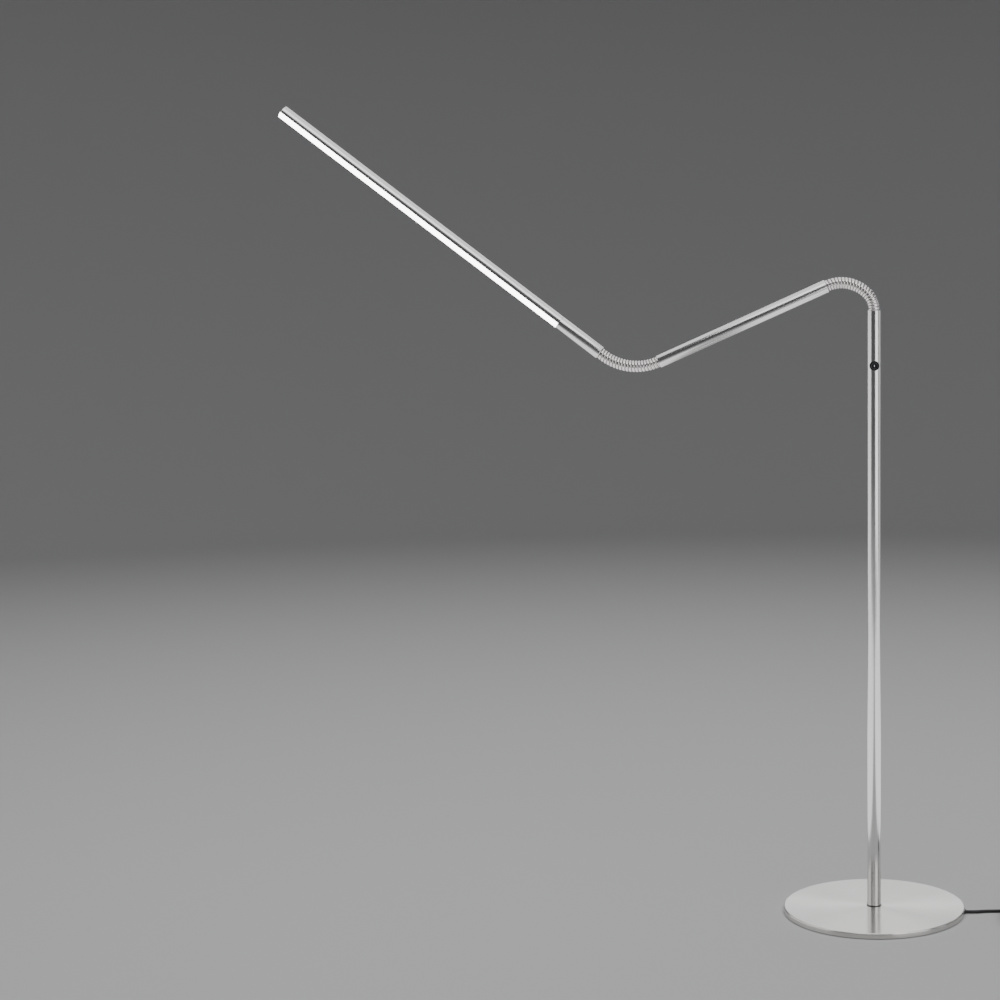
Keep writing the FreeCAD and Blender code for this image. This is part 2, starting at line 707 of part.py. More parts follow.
def head_lead():
    """From the neck through the joiner to the LED board."""
    drop = BAR_START + 45
    points = [Vector(RIB_PITCH + SOCKET_DEPTH, 0, 0), Vector(RIB_PITCH + SOCKET_DEPTH + 10, 0, 0),
              Vector(COLLAR_LENGTH - 20, 0, 5), Vector(COLLAR_LENGTH - 4, 0, 5),
              Vector(drop, 0, 5.01), Vector(drop, 0, WEB_LOW)]
    edges = route_edges(points[:4])
    bend = 3.0
    turn_in = Vector(drop - bend, 0, 5)
    turn_out = Vector(drop, 0, 5 - bend)
    edges.append(Part.LineSegment(points[3], turn_in).toShape())
    edges.append(Part.Arc(turn_in, arc_middle(turn_in, Vector(drop, 0, 5), turn_out),
                          turn_out).toShape())
    edges.append(Part.LineSegment(turn_out, Vector(drop, 0, WEB_LOW)).toShape())
    return swept(edges, LEAD_R, "head_lead")


# ---- Write every sub-part ----------------------------------------------------------------------
def build():
    save("base_cover", base_cover())
    save("base_weight", base_weight())
    save("base_pad", placed(rod(PAD_R, 0, PAD_TOP), FLOOR, UP))
    save("cord_grommet", cord_bushing(BASE_R - 11.5, BASE_R + GROMMET_OUT))
    save("cord_stop", cord_bushing(24.5, 33.5))
    save("base_cord", base_cord())
    save("supply_cord", supply_cord())
    coil, coil_end = supply_cord_coil()
    save("supply_cord_coil", coil)
    adaptor, pins, sleeve = wall_adaptor(coil_end)
    save("wall_adaptor", adaptor)
    save("adaptor_pins", pins)
    save("adaptor_sleeve", sleeve)

    save("pole_tube", pole_tube())
    save("pole_foot_plug", pole_foot_plug())
    save("foot_ring", foot_ring())
    save("pole_stud", pole_stud())
    save("stud_nut", stud_nut())
    save("pole_lead", pole_lead())
    save("pole_feed", pole_feed())
    save("dimmer_board", dimmer_board())
    save("switch_bezel", switch_bezel())
    save("switch_button", switch_button())

    for neck, line in (("upper_neck", upper_line), ("lower_neck", lower_line)):
        for number, (start, ribs) in enumerate(zip(neck_cuts(), SECTION_RIBS), 1):
            save(f"{neck}_section_{number}", neck_section(line, start, ribs))
        save(f"{neck}_lead", swept(neck_edges(line), LEAD_R, f"{neck}_lead"))

    save("pole_socket", neck_socket(Vector(0, 0, POLE_TOP), UP))
    save("arm_upper_socket", neck_socket(arm_start, ARM_HEADING + 180))
    save("arm_lower_socket", neck_socket(arm_end, ARM_HEADING))
    save("collar_socket", neck_socket(head_start, HEAD_HEADING + 180))

    save("arm_tube", placed(pipe(TUBE_R, BORE_R, 0, ARM_LENGTH, EASE), arm_start, ARM_HEADING))
    save("arm_lead", placed(straight_lead(ARM_LENGTH, RIB_PITCH + SOCKET_DEPTH), arm_start,
                            ARM_HEADING))

    save("collar_tube", in_head(pipe(TUBE_R, BORE_R, 0, COLLAR_LENGTH, EASE)))
    save("bar_joiner", in_head(bar_joiner()))
    save("bar_housing", in_head(tapped(bar_housing())))
    save("bar_diffuser", in_head(bar_diffuser()))
    save("led_board", in_head(led_board()))
    save("led_chips", in_head(led_chips()))
    save("board_screws", in_head(board_screws()))
    save("bar_end_cap", in_head(bar_end_cap()))
    save("head_lead", in_head(head_lead()))


build()
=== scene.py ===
"""Looks of a gooseneck reading floor lamp, made round its finished construction.

Everything is in metres and in the lamp's own frame: Z up, X to the right and Y away from someone who
faces the button, with the origin on the floor under the pole. Long pieces are made upright at the
origin, with the side that ends up uppermost towards +X, and are then laid in place.
"""
import json
import math

import bpy
from mathutils import Matrix, Vector


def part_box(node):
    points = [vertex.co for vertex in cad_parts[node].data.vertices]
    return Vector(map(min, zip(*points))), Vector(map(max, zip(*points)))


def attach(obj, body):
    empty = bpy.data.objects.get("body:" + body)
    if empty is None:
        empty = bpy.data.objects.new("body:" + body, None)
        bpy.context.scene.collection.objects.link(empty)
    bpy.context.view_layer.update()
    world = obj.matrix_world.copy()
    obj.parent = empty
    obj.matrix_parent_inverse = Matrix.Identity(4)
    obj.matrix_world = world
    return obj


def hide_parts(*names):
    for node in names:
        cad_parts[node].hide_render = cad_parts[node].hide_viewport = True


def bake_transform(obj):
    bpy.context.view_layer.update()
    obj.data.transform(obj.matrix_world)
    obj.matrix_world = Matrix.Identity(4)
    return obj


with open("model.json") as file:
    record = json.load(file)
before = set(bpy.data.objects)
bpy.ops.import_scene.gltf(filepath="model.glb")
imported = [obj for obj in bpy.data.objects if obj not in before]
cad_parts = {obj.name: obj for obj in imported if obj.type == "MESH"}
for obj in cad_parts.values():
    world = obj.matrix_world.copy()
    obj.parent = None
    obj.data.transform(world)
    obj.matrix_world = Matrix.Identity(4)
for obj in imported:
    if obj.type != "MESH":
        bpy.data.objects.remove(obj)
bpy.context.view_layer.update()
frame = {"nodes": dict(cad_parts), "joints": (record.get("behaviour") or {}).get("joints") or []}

MM = 0.001
TINY = 1e-5

# ---- Sizes ---------------------------------------------------------------------------------------
TUBE_R = 11 * MM
BORE_R = 9.8 * MM
EASE = 0.4 * MM                    # broken edge of a sawn tube

BASE_R = 150 * MM
PAD_TOP = 0.8 * MM
BASE_TOP = 9.5 * MM
COVER_WALL = 1.0 * MM
RIM_ROUNDING = 2.0 * MM
COVER_HOLE_R = 5.3 * MM
POLE_FOOT = 10.5 * MM
FOOT_RING_R = 12.4 * MM
FOOT_RING_EASE = 0.5 * MM
RIM_FOOT_EASE = 0.2 * MM
STUD_HOLE_R = 5.3 * MM
THROUGH = 20 * MM                  # height of cutters that go right through a piece

EXIT_ANGLE = math.radians(-6)      # where the cord leaves the rim, seen from above
EXIT_Z = 3.3 * MM
NOTCH_R = 4.5 * MM
NOTCH_TOP = 7.2 * MM
NOTCH_START = BASE_R - 12 * MM     # distances from the middle, along the cord's way out
NOTCH_END = BASE_R + 5 * MM
NOTCH_SKIRT = 10 * MM              # how far the notch's straight sides reach down
GROMMET_START = BASE_R - 11.5 * MM
GROMMET_FACE = 151.5 * MM
GROMMET_EASE = 0.6 * MM
MOULD_GAP = 0.1 * MM               # free space round a moulded piece

BUTTON_Z = 905 * MM
BEZEL_R = 8.2 * MM
BEZEL_FIT = 0.05 * MM
BEZEL_BACK = 5.0 * MM              # backs, floors and faces are measured forwards from the pole's axis
BEZEL_FLOOR = 6.2 * MM
BEZEL_FACE = 12.3 * MM
BEZEL_LIP = 0.55 * MM
GUIDE_R = 2.3 * MM
CAP_R = 6.4 * MM
CAP_GAP = 0.2 * MM
CAP_BACK = 9.6 * MM
CAP_FACE = 12.7 * MM
CAP_EASE = 0.3 * MM
CAP_RIM = 1.3 * MM
DISH_SLOPE = 0.5 * MM
DISH_DEPTH = 0.45 * MM
DISH_STEPS = 4
DISH_STEP_WIDTH = 1.0 * MM
DISH_STEP_DEPTH = 0.06 * MM
STEM_R = 2.0 * MM
STEM_BACK = 3.6 * MM
STEM_FRONT = 9.8 * MM
MARKER_WIDTH = 1.2 * MM
MARKER_HEIGHT = 3.6 * MM
MARKER_BACK = 11.9 * MM
MARKER_FACE = 12.2 * MM
MARKER_ROUNDING = 0.55 * MM

RIB_PITCH = 5.2 * MM
CREST_R = 9.5 * MM
ROOT_R = 7.8 * MM
SHOULDER_R = 2.1 * MM
RIDGE_BACK = 0.1 * MM              # depth of the ridge's profile behind its shoulders
NECK_BORE_R = 4.75 * MM
NECK_RIBS = 20
NECK_LENGTH = NECK_RIBS * RIB_PITCH
NECK_ZONES = 5
ZONE_HOLD = 0.12                   # share of a zone at each end, that sets where the zone's entry and leave points lie
SCREW_STEPS = 48
SPARE_TURNS = 4
LEAD_R = 0.9 * MM
UPPER_TIGHT_R = 40 * MM
UPPER_TIGHT_TURN = math.radians(46)
LOWER_R = 91 * MM
LINE_STEP = 1.0 * MM               # about how far apart the points of a neck's middle line are

COLLAR_LENGTH = 84 * MM
BAR_START = 84.4 * MM
HEAD_LENGTH = 662 * MM
END_PLATE = 2.0 * MM
METAL_END = HEAD_LENGTH - END_PLATE
BAR_CHORD = -2.0 * MM              # height, across the bar, where the diffuser takes over
BAR_GAP = 0.05 * MM
WEB_BOTTOM = 1.0 * MM
WEB_TOP = 2.2 * MM
WEB_HALF = 9.6 * MM
LIP_HEIGHT = 1.2 * MM
LIP_INNER = 8.7 * MM
LIP_OUTER = 10.0 * MM
DIFFUSER_WALL = 1.4 * MM
LEG_BOTTOM = -5.0 * MM
LEG_TOP = 0.4 * MM
LEG_INNER = 7.4 * MM
LEG_OUTER = 8.5 * MM
LEG_SETBACK = 2.0 * MM
TONGUE_LENGTH = 8.0 * MM
TONGUE_FLOOR = 2.3 * MM

CORD_R = 2.5 * MM
CORD_ROUTE = [                     # millimetres, from the rim to the coil's straight start
    (164.1, -17.25, 3.3),
    (183.0, -11.2, 2.55),
    (205.5, -10.0, 2.55),
    (228.0, -10.5, 2.55),
    (250.0, -10.5, 2.55),
]
COIL_CENTRE = (262.0, 24.5)        # millimetres too, for the whole coil
COIL_OUTER_R = 35.0
COIL_STEP = 5.6
COIL_LAYER_TURNS = 2.5
COIL_TURNS = 9.75
COIL_CLIMB_TURNS = 0.25            # half the stretch over which the cord climbs to the next layer
COIL_STRAIGHT = 12.0
POINTS_PER_TURN = 16

ADAPTOR_CORNER = 4.0 * MM
ADAPTOR_EASE = 1.2 * MM
ADAPTOR_LONG_EDGE = 40 * MM        # only the edges along the case are longer
SEAM_FROM_FACE = 9.0 * MM
SEAM_WIDTH = 0.7 * MM
SEAM_DEPTH = 0.5 * MM
PIN_R = 2.0 * MM
PIN_TIP = 1.2 * MM
PIN_SLEEVE_R = 2.05 * MM
PIN_SLEEVE_WALL = 0.15 * MM
PIN_SLEEVE_LENGTH = 10 * MM
RELIEF_ROOT_R = 5.8 * MM
RELIEF_ROOT_LENGTH = 5.2 * MM
RELIEF_ROOT_EASE = 1.0 * MM
RELIEF_CONE_START = 5.0 * MM
RELIEF_CONE_R = 4.4 * MM
RELIEF_TIP_R = 3.1 * MM
RELIEF_GROOVES = 5
RELIEF_FIRST_GROOVE = 9.0 * MM
RELIEF_GROOVE_PITCH = 4.0 * MM
RELIEF_GROOVE_WIDTH = 1.6 * MM
RELIEF_GROOVE_DEPTH = 0.55 * MM

CAMERA_PLACE = (-0.148, -3.08, 0.9469)
CAMERA_LENS = 66.74                # millimetres, like the sensor
CAMERA_SENSOR = 36
CAMERA_SHIFT = (-0.285, -0.1594)

STUDIO_R = 8.5
STUDIO_HEIGHT = 6.0
STUDIO_SWEEP = 2.5


def joint(name):
    """A joint's point and the direction of its axis."""
    found = next(j for j in frame["joints"] if j["name"] == name)
    return Vector(found.get("pos_m", (0, 0, 0))), Vector(found["axis"]).normalized()


pole_top, pole_way = joint("upper_turn")
arm_start, arm_way = joint("upper_counter_turn")
arm_end = joint("lower_turn")[0]
head_start, head_way = joint("lower_counter_turn")
ARM_LENGTH = (arm_end - arm_start).length
exit_way = Vector((math.cos(EXIT_ANGLE), math.sin(EXIT_ANGLE), 0))
exit_point = exit_way * GROMMET_FACE + Vector((0, 0, EXIT_Z))


# ---- Modelling by hand ---------------------------------------------------------------------------
def take(piece):
    """Make a piece the only one selected, in object mode."""
    if bpy.context.object and bpy.context.object.mode != "OBJECT":
        bpy.ops.object.mode_set(mode="OBJECT")
    bpy.ops.object.select_all(action="DESELECT")
    piece.select_set(True)
    bpy.context.view_layer.objects.active = piece


def named(name):
    """Name the primitive just added and put its place into its mesh."""
    piece = bpy.context.active_object
    piece.name = name
    piece.data.name = name
    take(piece)
    bpy.ops.object.transform_apply(location=True, rotation=True, scale=True)
    return piece


def rod(name, radius, low, high, sides=96, ends="NGON"):
    bpy.ops.mesh.primitive_cylinder_add(vertices=sides, radius=radius, depth=high - low,
                                        end_fill_type=ends, location=(0, 0, (low + high) / 2))
    return named(name)


def block(name, low, high):
    middle = [(a + b) / 2 for a, b in zip(low, high)]
    size = [b - a for a, b in zip(low, high)]
    bpy.ops.mesh.primitive_cube_add(size=1, location=middle, scale=size)
    return named(name)


def choose(piece, kind, test):
    """Go to edit mode with only the faces, edges or vertices selected that pass the test."""
    take(piece)
    mesh = piece.data
    for items in (mesh.vertices, mesh.edges, mesh.polygons):
        items.foreach_set("select", [False] * len(items))
    if kind == "FACE":
        for face in mesh.polygons:
            face.select = test(face.center, face.normal)
    elif kind == "EDGE":
        for edge in mesh.edges:
            edge.select = test(*(mesh.vertices[i].co for i in edge.vertices))
    else:
        for vertex in mesh.vertices:
            vertex.select = test(vertex.co)
    bpy.context.tool_settings.mesh_select_mode = (kind == "VERT", kind == "EDGE", kind == "FACE")
    bpy.ops.object.mode_set(mode="EDIT")


def all_of(piece):
    choose(piece, "VERT", lambda co: True)


def done():
    bpy.ops.object.mode_set(mode="OBJECT")


def apply(piece, kind, **settings):
    """Add a modifier to a piece and apply it."""
    take(piece)
    modifier = piece.modifiers.new(kind.title(), kind)
    for name, value in settings.items():
        setattr(modifier, name, value)
    bpy.ops.object.modifier_apply(modifier=modifier.name)


def cut(piece, cutter):
    apply(piece, "BOOLEAN", operation="DIFFERENCE", solver="EXACT", object=cutter)
    bpy.data.objects.remove(cutter)


def slice_off(piece, point, way):
    """Remove what lies behind a plane: the side that the direction points away from."""
    all_of(piece)
    bpy.ops.mesh.bisect(plane_co=point, plane_no=way, use_fill=True, clear_inner=True)
    done()


def soften(piece, test, offset, segments=3):
    """Bevel the edges that pass the test."""
    choose(piece, "EDGE", test)
    bpy.ops.mesh.bevel(offset=offset, segments=segments, profile=0.5, affect="EDGES")
    done()


def radius_of(co):
    return math.hypot(co.x, co.y)


def ring_edge(*heights, radius=None):
    """Test for the edges of circles at some heights, of one radius or of any."""
    def test(a, b):
        level = any(abs(a.z - height) < TINY and abs(b.z - height) < TINY for height in heights)
        round_it = abs(radius_of(a) - radius_of(b)) < TINY
        return level and round_it and (radius is None or abs(radius_of(a) - radius) < 2 * TINY)
    return test


def smooth(piece, angle=35):
    take(piece)
    bpy.ops.object.shade_smooth_by_angle(angle=math.radians(angle))


def joined(name, first, *others):
    take(first)
    for other in others:
        other.select_set(True)
    bpy.ops.object.join()
    first.name = name
    first.data.name = name
    return first


def placed(piece, matrix):
    """Put a piece in its place, and keep the place in its mesh."""
    take(piece)
    piece.matrix_world = matrix
    bpy.ops.object.transform_apply(location=True, rotation=True, scale=True)
    return piece


def laid(piece, origin, way):
    """Lay an upright piece along a direction, its +X side uppermost."""
    way = way.normalized()
    across = Vector((0, 1, 0))
    turn = Matrix((across.cross(way), across, way)).transposed().to_4x4()
    return placed(piece, Matrix.Translation(origin) @ turn)


def turned_to_x(piece):
    """Turn an upright piece along +X."""
    piece.rotation_euler = (0, math.pi / 2, 0)
    take(piece)
    bpy.ops.object.transform_apply(location=False, rotation=True, scale=False)
    return piece


def line_through(name, kind, points):
    """Curve object with one spline through points."""
    curve = bpy.data.curves.new(name, "CURVE")
    curve.dimensions = "3D"
    spline = curve.splines.new(kind)
    spline.points.add(len(points) - 1)
    for place, co in zip(spline.points, points):
        place.co = (*co, 1)
    line = bpy.data.objects.new(name, curve)
    bpy.context.scene.collection.objects.link(line)
    return line


def copy_of(piece, name):
    take(piece)
    bpy.ops.object.duplicate()
    return named(name)


def finish_piece(piece, body, finish, slot, *nodes, angle=35):
    """Shade, paint and fix a finished piece to its body, in place of its plain nodes."""
    if piece.type == "MESH":
        smooth(piece, angle)
    piece.data.materials.clear()
    piece.data.materials.append(finish)
    if body:
        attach(piece, body)
    if nodes:
        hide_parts(*nodes)
    return piece


# ---- Finishes ------------------------------------------------------------------------------------
STROKE_STRETCH = (1.0, 1.0, 0.012)
FINE_STROKES = 2600.0              # noise scales, in cells to a metre
COARSE_STROKES = 420.0
FINE_RINGS = 2400.0
COARSE_RINGS = 180.0
RING_WANDER = 0.0006
WANDER_SCALE = 9.0

STEEL_LIGHT = (0.82, 0.805, 0.80)
STEEL_DARK = (0.70, 0.685, 0.68)
TURNED_LIGHT = (0.78, 0.77, 0.75)
TURNED_DARK = (0.60, 0.59, 0.575)
RIB_LIGHT = (0.82, 0.79, 0.78)
RIB_DARK = (0.68, 0.65, 0.64)
# painted shade: the colour that the bottoms of the neck's grooves are darkened to
PAINTED_GROOVE_SHADE = (0.16, 0.15, 0.145, 1)
OPAL_LIGHT = (0.94, 0.94, 0.935)
OPAL_DARK = (0.90, 0.90, 0.89)
GLOW_LIGHT = (1.0, 0.99, 0.97)
GLOW_DARK = (1.0, 0.985, 0.96)
GLOW_STRENGTH = 9.0
FLOOR_PAINT = (0.62, 0.62, 0.625, 1)
ROOM_SHADE = (0.08, 0.08, 0.082, 1)


def group(name, setting, usual, *outputs):
    """Empty node group that takes a vector and one number and gives numbers, and its end nodes."""
    tree = bpy.data.node_groups.new(name, "ShaderNodeTree")
    tree.interface.new_socket(name="Vector", in_out="INPUT", socket_type="NodeSocketVector")
    number = tree.interface.new_socket(name=setting, in_out="INPUT", socket_type="NodeSocketFloat")
    number.default_value = usual
    for label in outputs:
        tree.interface.new_socket(name=label, in_out="OUTPUT", socket_type="NodeSocketFloat")
    return tree, tree.nodes.new("NodeGroupInput"), tree.nodes.new("NodeGroupOutput")


def feed(tree, taker, inputs):
    """Give a node's inputs their numbers, or their links from other sockets."""
    for key, value in inputs.items():
        if isinstance(value, bpy.types.NodeSocket):
            tree.links.new(value, taker.inputs[key])
        else:
            taker.inputs[key].default_value = value


def node(tree, kind, inputs=None, **settings):
    """Node with its settings and its inputs."""
    made = tree.nodes.new(kind)
    for name, value in settings.items():
        setattr(made, name, value)
    feed(tree, made, inputs or {})
    return made


def lerp(tree, amount, low, high):
    """Value between low and high by an amount from 0 to 1."""
    return node(tree, "ShaderNodeMapRange", {"Value": amount, "To Min": low, "To Max": high}).outputs[0]


def make_brushed_group():
    """Fine strokes along local Z: long thin noise, coarse and fine, as a tone and a height."""
    tree, given, out = group("brushed_strokes", "Fineness", 1.0, "Tone", "Height")
    long_way = node(tree, "ShaderNodeVectorMath", {0: given.outputs["Vector"], 1: STROKE_STRETCH},
                    operation="MULTIPLY").outputs[0]
    scaled = node(tree, "ShaderNodeVectorMath", {0: long_way, "Scale": given.outputs["Fineness"]},
                  operation="SCALE").outputs[0]
    fine = node(tree, "ShaderNodeTexNoise", {"Vector": scaled, "Scale": FINE_STROKES, "Detail": 3.0})
    coarse = node(tree, "ShaderNodeTexNoise", {"Vector": scaled, "Scale": COARSE_STROKES, "Detail": 2.0})
    both = node(tree, "ShaderNodeMix", {0: 0.4, 2: fine.outputs[0], 3: coarse.outputs[0]}).outputs[0]
    feed(tree, out, {"Tone": both, "Height": fine.outputs[0]})
    return tree


def make_turned_group():
    """Rings round local Z at random spacings, as left by a lathe, as a tone and a height."""
    tree, given, out = group("turned_rings", "Fineness", 1.0, "Tone", "Height")
    flat = node(tree, "ShaderNodeVectorMath", {0: given.outputs["Vector"], 1: (1.0, 1.0, 0.0)},
                operation="MULTIPLY").outputs[0]
    radius = node(tree, "ShaderNodeVectorMath", {0: flat}, operation="LENGTH").outputs["Value"]
    radius = node(tree, "ShaderNodeMath", {0: radius, 1: given.outputs["Fineness"]},
                  operation="MULTIPLY").outputs[0]
    wander = node(tree, "ShaderNodeTexNoise", {"Vector": flat, "Scale": WANDER_SCALE, "Detail": 1.0})
    radius = node(tree, "ShaderNodeMath", {0: wander.outputs[0], 1: RING_WANDER, 2: radius},
                  operation="MULTIPLY_ADD").outputs[0]
    fine = node(tree, "ShaderNodeTexNoise", {"W": radius, "Scale": FINE_RINGS, "Detail": 2.0},
                noise_dimensions="1D")
    coarse = node(tree, "ShaderNodeTexNoise", {"W": radius, "Scale": COARSE_RINGS, "Detail": 2.0},
                  noise_dimensions="1D")
    both = node(tree, "ShaderNodeMix", {0: 0.5, 2: fine.outputs[0], 3: coarse.outputs[0]}).outputs[0]
    feed(tree, out, {"Tone": both, "Height": fine.outputs[0]})
    return tree


def make_handling_group():
    """Soft uneven patches where hands and cloths have been, from 0 to 1."""
    tree, given, out = group("handling_marks", "Size", 0.05, "Mask")
    scale = node(tree, "ShaderNodeMath", {0: 1.0, 1: given.outputs["Size"]}, operation="DIVIDE").outputs[0]
    cloud = node(tree, "ShaderNodeTexNoise", {"Vector": given.outputs["Vector"], "Scale": scale,
                                              "Detail": 4.0, "Roughness": 0.6}).outputs[0]
    mask = node(tree, "ShaderNodeMapRange", {"Value": cloud, "From Min": 0.35, "From Max": 0.7}).outputs[0]
    feed(tree, out, {"Mask": mask})
    return tree


def make_speckle_group():
    """Fine even grain of moulded or cast surfaces, as a tone and a height."""
    tree, given, out = group("moulded_grain", "Grain", 0.0005, "Tone", "Height")
    scale = node(tree, "ShaderNodeMath", {0: 1.0, 1: given.outputs["Grain"]}, operation="DIVIDE").outputs[0]
    fine = node(tree, "ShaderNodeTexNoise", {"Vector": given.outputs["Vector"], "Scale": scale,
                                             "Detail": 2.0}).outputs[0]
    pits = node(tree, "ShaderNodeTexVoronoi", {"Vector": given.outputs["Vector"], "Scale": scale}).outputs[0]
    feed(tree, out, {"Tone": fine, "Height": pits})
    return tree


BRUSHED = make_brushed_group()
TURNED = make_turned_group()
HANDLING = make_handling_group()
GRAIN = make_speckle_group()


def material(name):
    """Material with its shader, and Object coordinates."""
    made = bpy.data.materials.new(name)
    made.use_nodes = True
    tree = made.node_tree
    tree.nodes.clear()
    out = tree.nodes.new("ShaderNodeOutputMaterial")
    shader = tree.nodes.new("ShaderNodeBsdfPrincipled")
    tree.links.new(shader.outputs[0], out.inputs["Surface"])
    place = tree.nodes.new("ShaderNodeTexCoord").outputs["Object"]
    return made, tree, shader, place


def placed_group(tree, kind, **inputs):
    return node(tree, "ShaderNodeGroup", inputs, node_tree=kind)


def bump(tree, height, strength, distance):
    return node(tree, "ShaderNodeBump",
                {"Height": height, "Strength": strength, "Distance": distance}).outputs[0]


def worn(tree, rough, marks, amount):
    """Roughness with a little more where the handling marks are."""
    return node(tree, "ShaderNodeMath", {0: marks.outputs["Mask"], 1: amount, 2: rough},
                operation="MULTIPLY_ADD").outputs[0]


def tint(tree, amount, dark, light):
    """Colour between two by an amount from 0 to 1."""
    mixed = node(tree, "ShaderNodeMix", {0: amount, 6: (*dark, 1), 7: (*light, 1)}, data_type="RGBA")
    return mixed.outputs[2]


def brushed_metal(name, way):
    """Satin metal with strokes along a direction and faint handling marks."""
    made, tree, shader, place = material(name)
    turn = Vector((0, 0, 1)).rotation_difference(way).to_euler()
    lined_up = node(tree, "ShaderNodeMapping", {"Vector": place, "Rotation": turn},
                    vector_type="TEXTURE").outputs[0]
    strokes = placed_group(tree, BRUSHED, Vector=lined_up, Fineness=1.0)
    marks = placed_group(tree, HANDLING, Vector=place, Size=0.07)
    rough = lerp(tree, strokes.outputs["Tone"], 0.16, 0.22)
    feed(tree, shader, {"Base Color": tint(tree, strokes.outputs["Tone"], STEEL_DARK, STEEL_LIGHT),
                        "Roughness": worn(tree, rough, marks, 0.035), "Metallic": 1.0,
                        "Normal": bump(tree, strokes.outputs["Height"], strength=0.02, distance=0.0001)})
    return made


def turned_metal(name):
    """Lathe-turned steel whose highlights fan out from the middle."""
    made, tree, shader, place = material(name)
    rings = placed_group(tree, TURNED, Vector=place, Fineness=1.0)
    marks = placed_group(tree, HANDLING, Vector=place, Size=0.09)
    rough = lerp(tree, rings.outputs["Tone"], 0.19, 0.27)
    tangent = node(tree, "ShaderNodeTangent", direction_type="RADIAL", axis="Z").outputs[0]
    feed(tree, shader, {"Base Color": tint(tree, rings.outputs["Tone"], TURNED_DARK, TURNED_LIGHT),
                        "Roughness": worn(tree, rough, marks, 0.04), "Metallic": 1.0,
                        "Anisotropic": 0.97, "Anisotropic Rotation": 0.25, "Tangent": tangent,
                        "Normal": bump(tree, rings.outputs["Height"], strength=0.05, distance=0.00005)})
    return made


def ribbed_metal(name):
    """Satin metal of the wound hoses, duller in the grooves and darkened there with painted shade."""
    made, tree, shader, place = material(name)
    speckle = placed_group(tree, GRAIN, Vector=place, Grain=0.0004)
    depth = node(tree, "ShaderNodeAttribute", attribute_name="groove").outputs["Fac"]
    depth = node(tree, "ShaderNodeMapRange", {"Value": depth, "From Min": 0.15, "From Max": 0.75}).outputs[0]
    metal = tint(tree, speckle.outputs["Tone"], RIB_DARK, RIB_LIGHT)
    # painted shade in the grooves: the deeper a place lies, the darker its colour
    shade = node(tree, "ShaderNodeMix", {0: depth, 6: metal, 7: PAINTED_GROOVE_SHADE}, data_type="RGBA")
    feed(tree, shader, {"Base Color": shade.outputs[2], "Roughness": lerp(tree, depth, 0.2, 0.42),
                        "Metallic": 1.0,
                        "Normal": bump(tree, speckle.outputs["Height"], strength=0.03, distance=0.0001)})
    return made


def grained(name, dark, light, smoothest, roughest, grain=0.0006, relief=0.2, metallic=0.0, coat=0.0):
    """Moulded, cast, plated or rubbery surface with an even fine grain and faint marks."""
    made, tree, shader, place = material(name)
    speckle = placed_group(tree, GRAIN, Vector=place, Grain=grain)
    marks = placed_group(tree, HANDLING, Vector=place, Size=0.03)
    feed(tree, shader, {"Base Color": tint(tree, speckle.outputs["Tone"], dark, light),
                        "Roughness": lerp(tree, marks.outputs["Mask"], smoothest, roughest),
                        "Metallic": metallic, "Coat Weight": coat,
                        "Normal": bump(tree, speckle.outputs["Height"], relief, grain * 0.3)})
    return made


def opal(name):
    """Opal plastic lit evenly from behind."""
    made, tree, shader, place = material(name)
    cloud = placed_group(tree, HANDLING, Vector=place, Size=0.02)
    feed(tree, shader, {"Base Color": tint(tree, cloud.outputs["Mask"], OPAL_DARK, OPAL_LIGHT),
                        "Emission Color": tint(tree, cloud.outputs["Mask"], GLOW_DARK, GLOW_LIGHT),
                        "Emission Strength": GLOW_STRENGTH,
                        "Roughness": lerp(tree, cloud.outputs["Mask"], 0.32, 0.4)})
    return made


UPRIGHT = Vector((0, 0, 1))

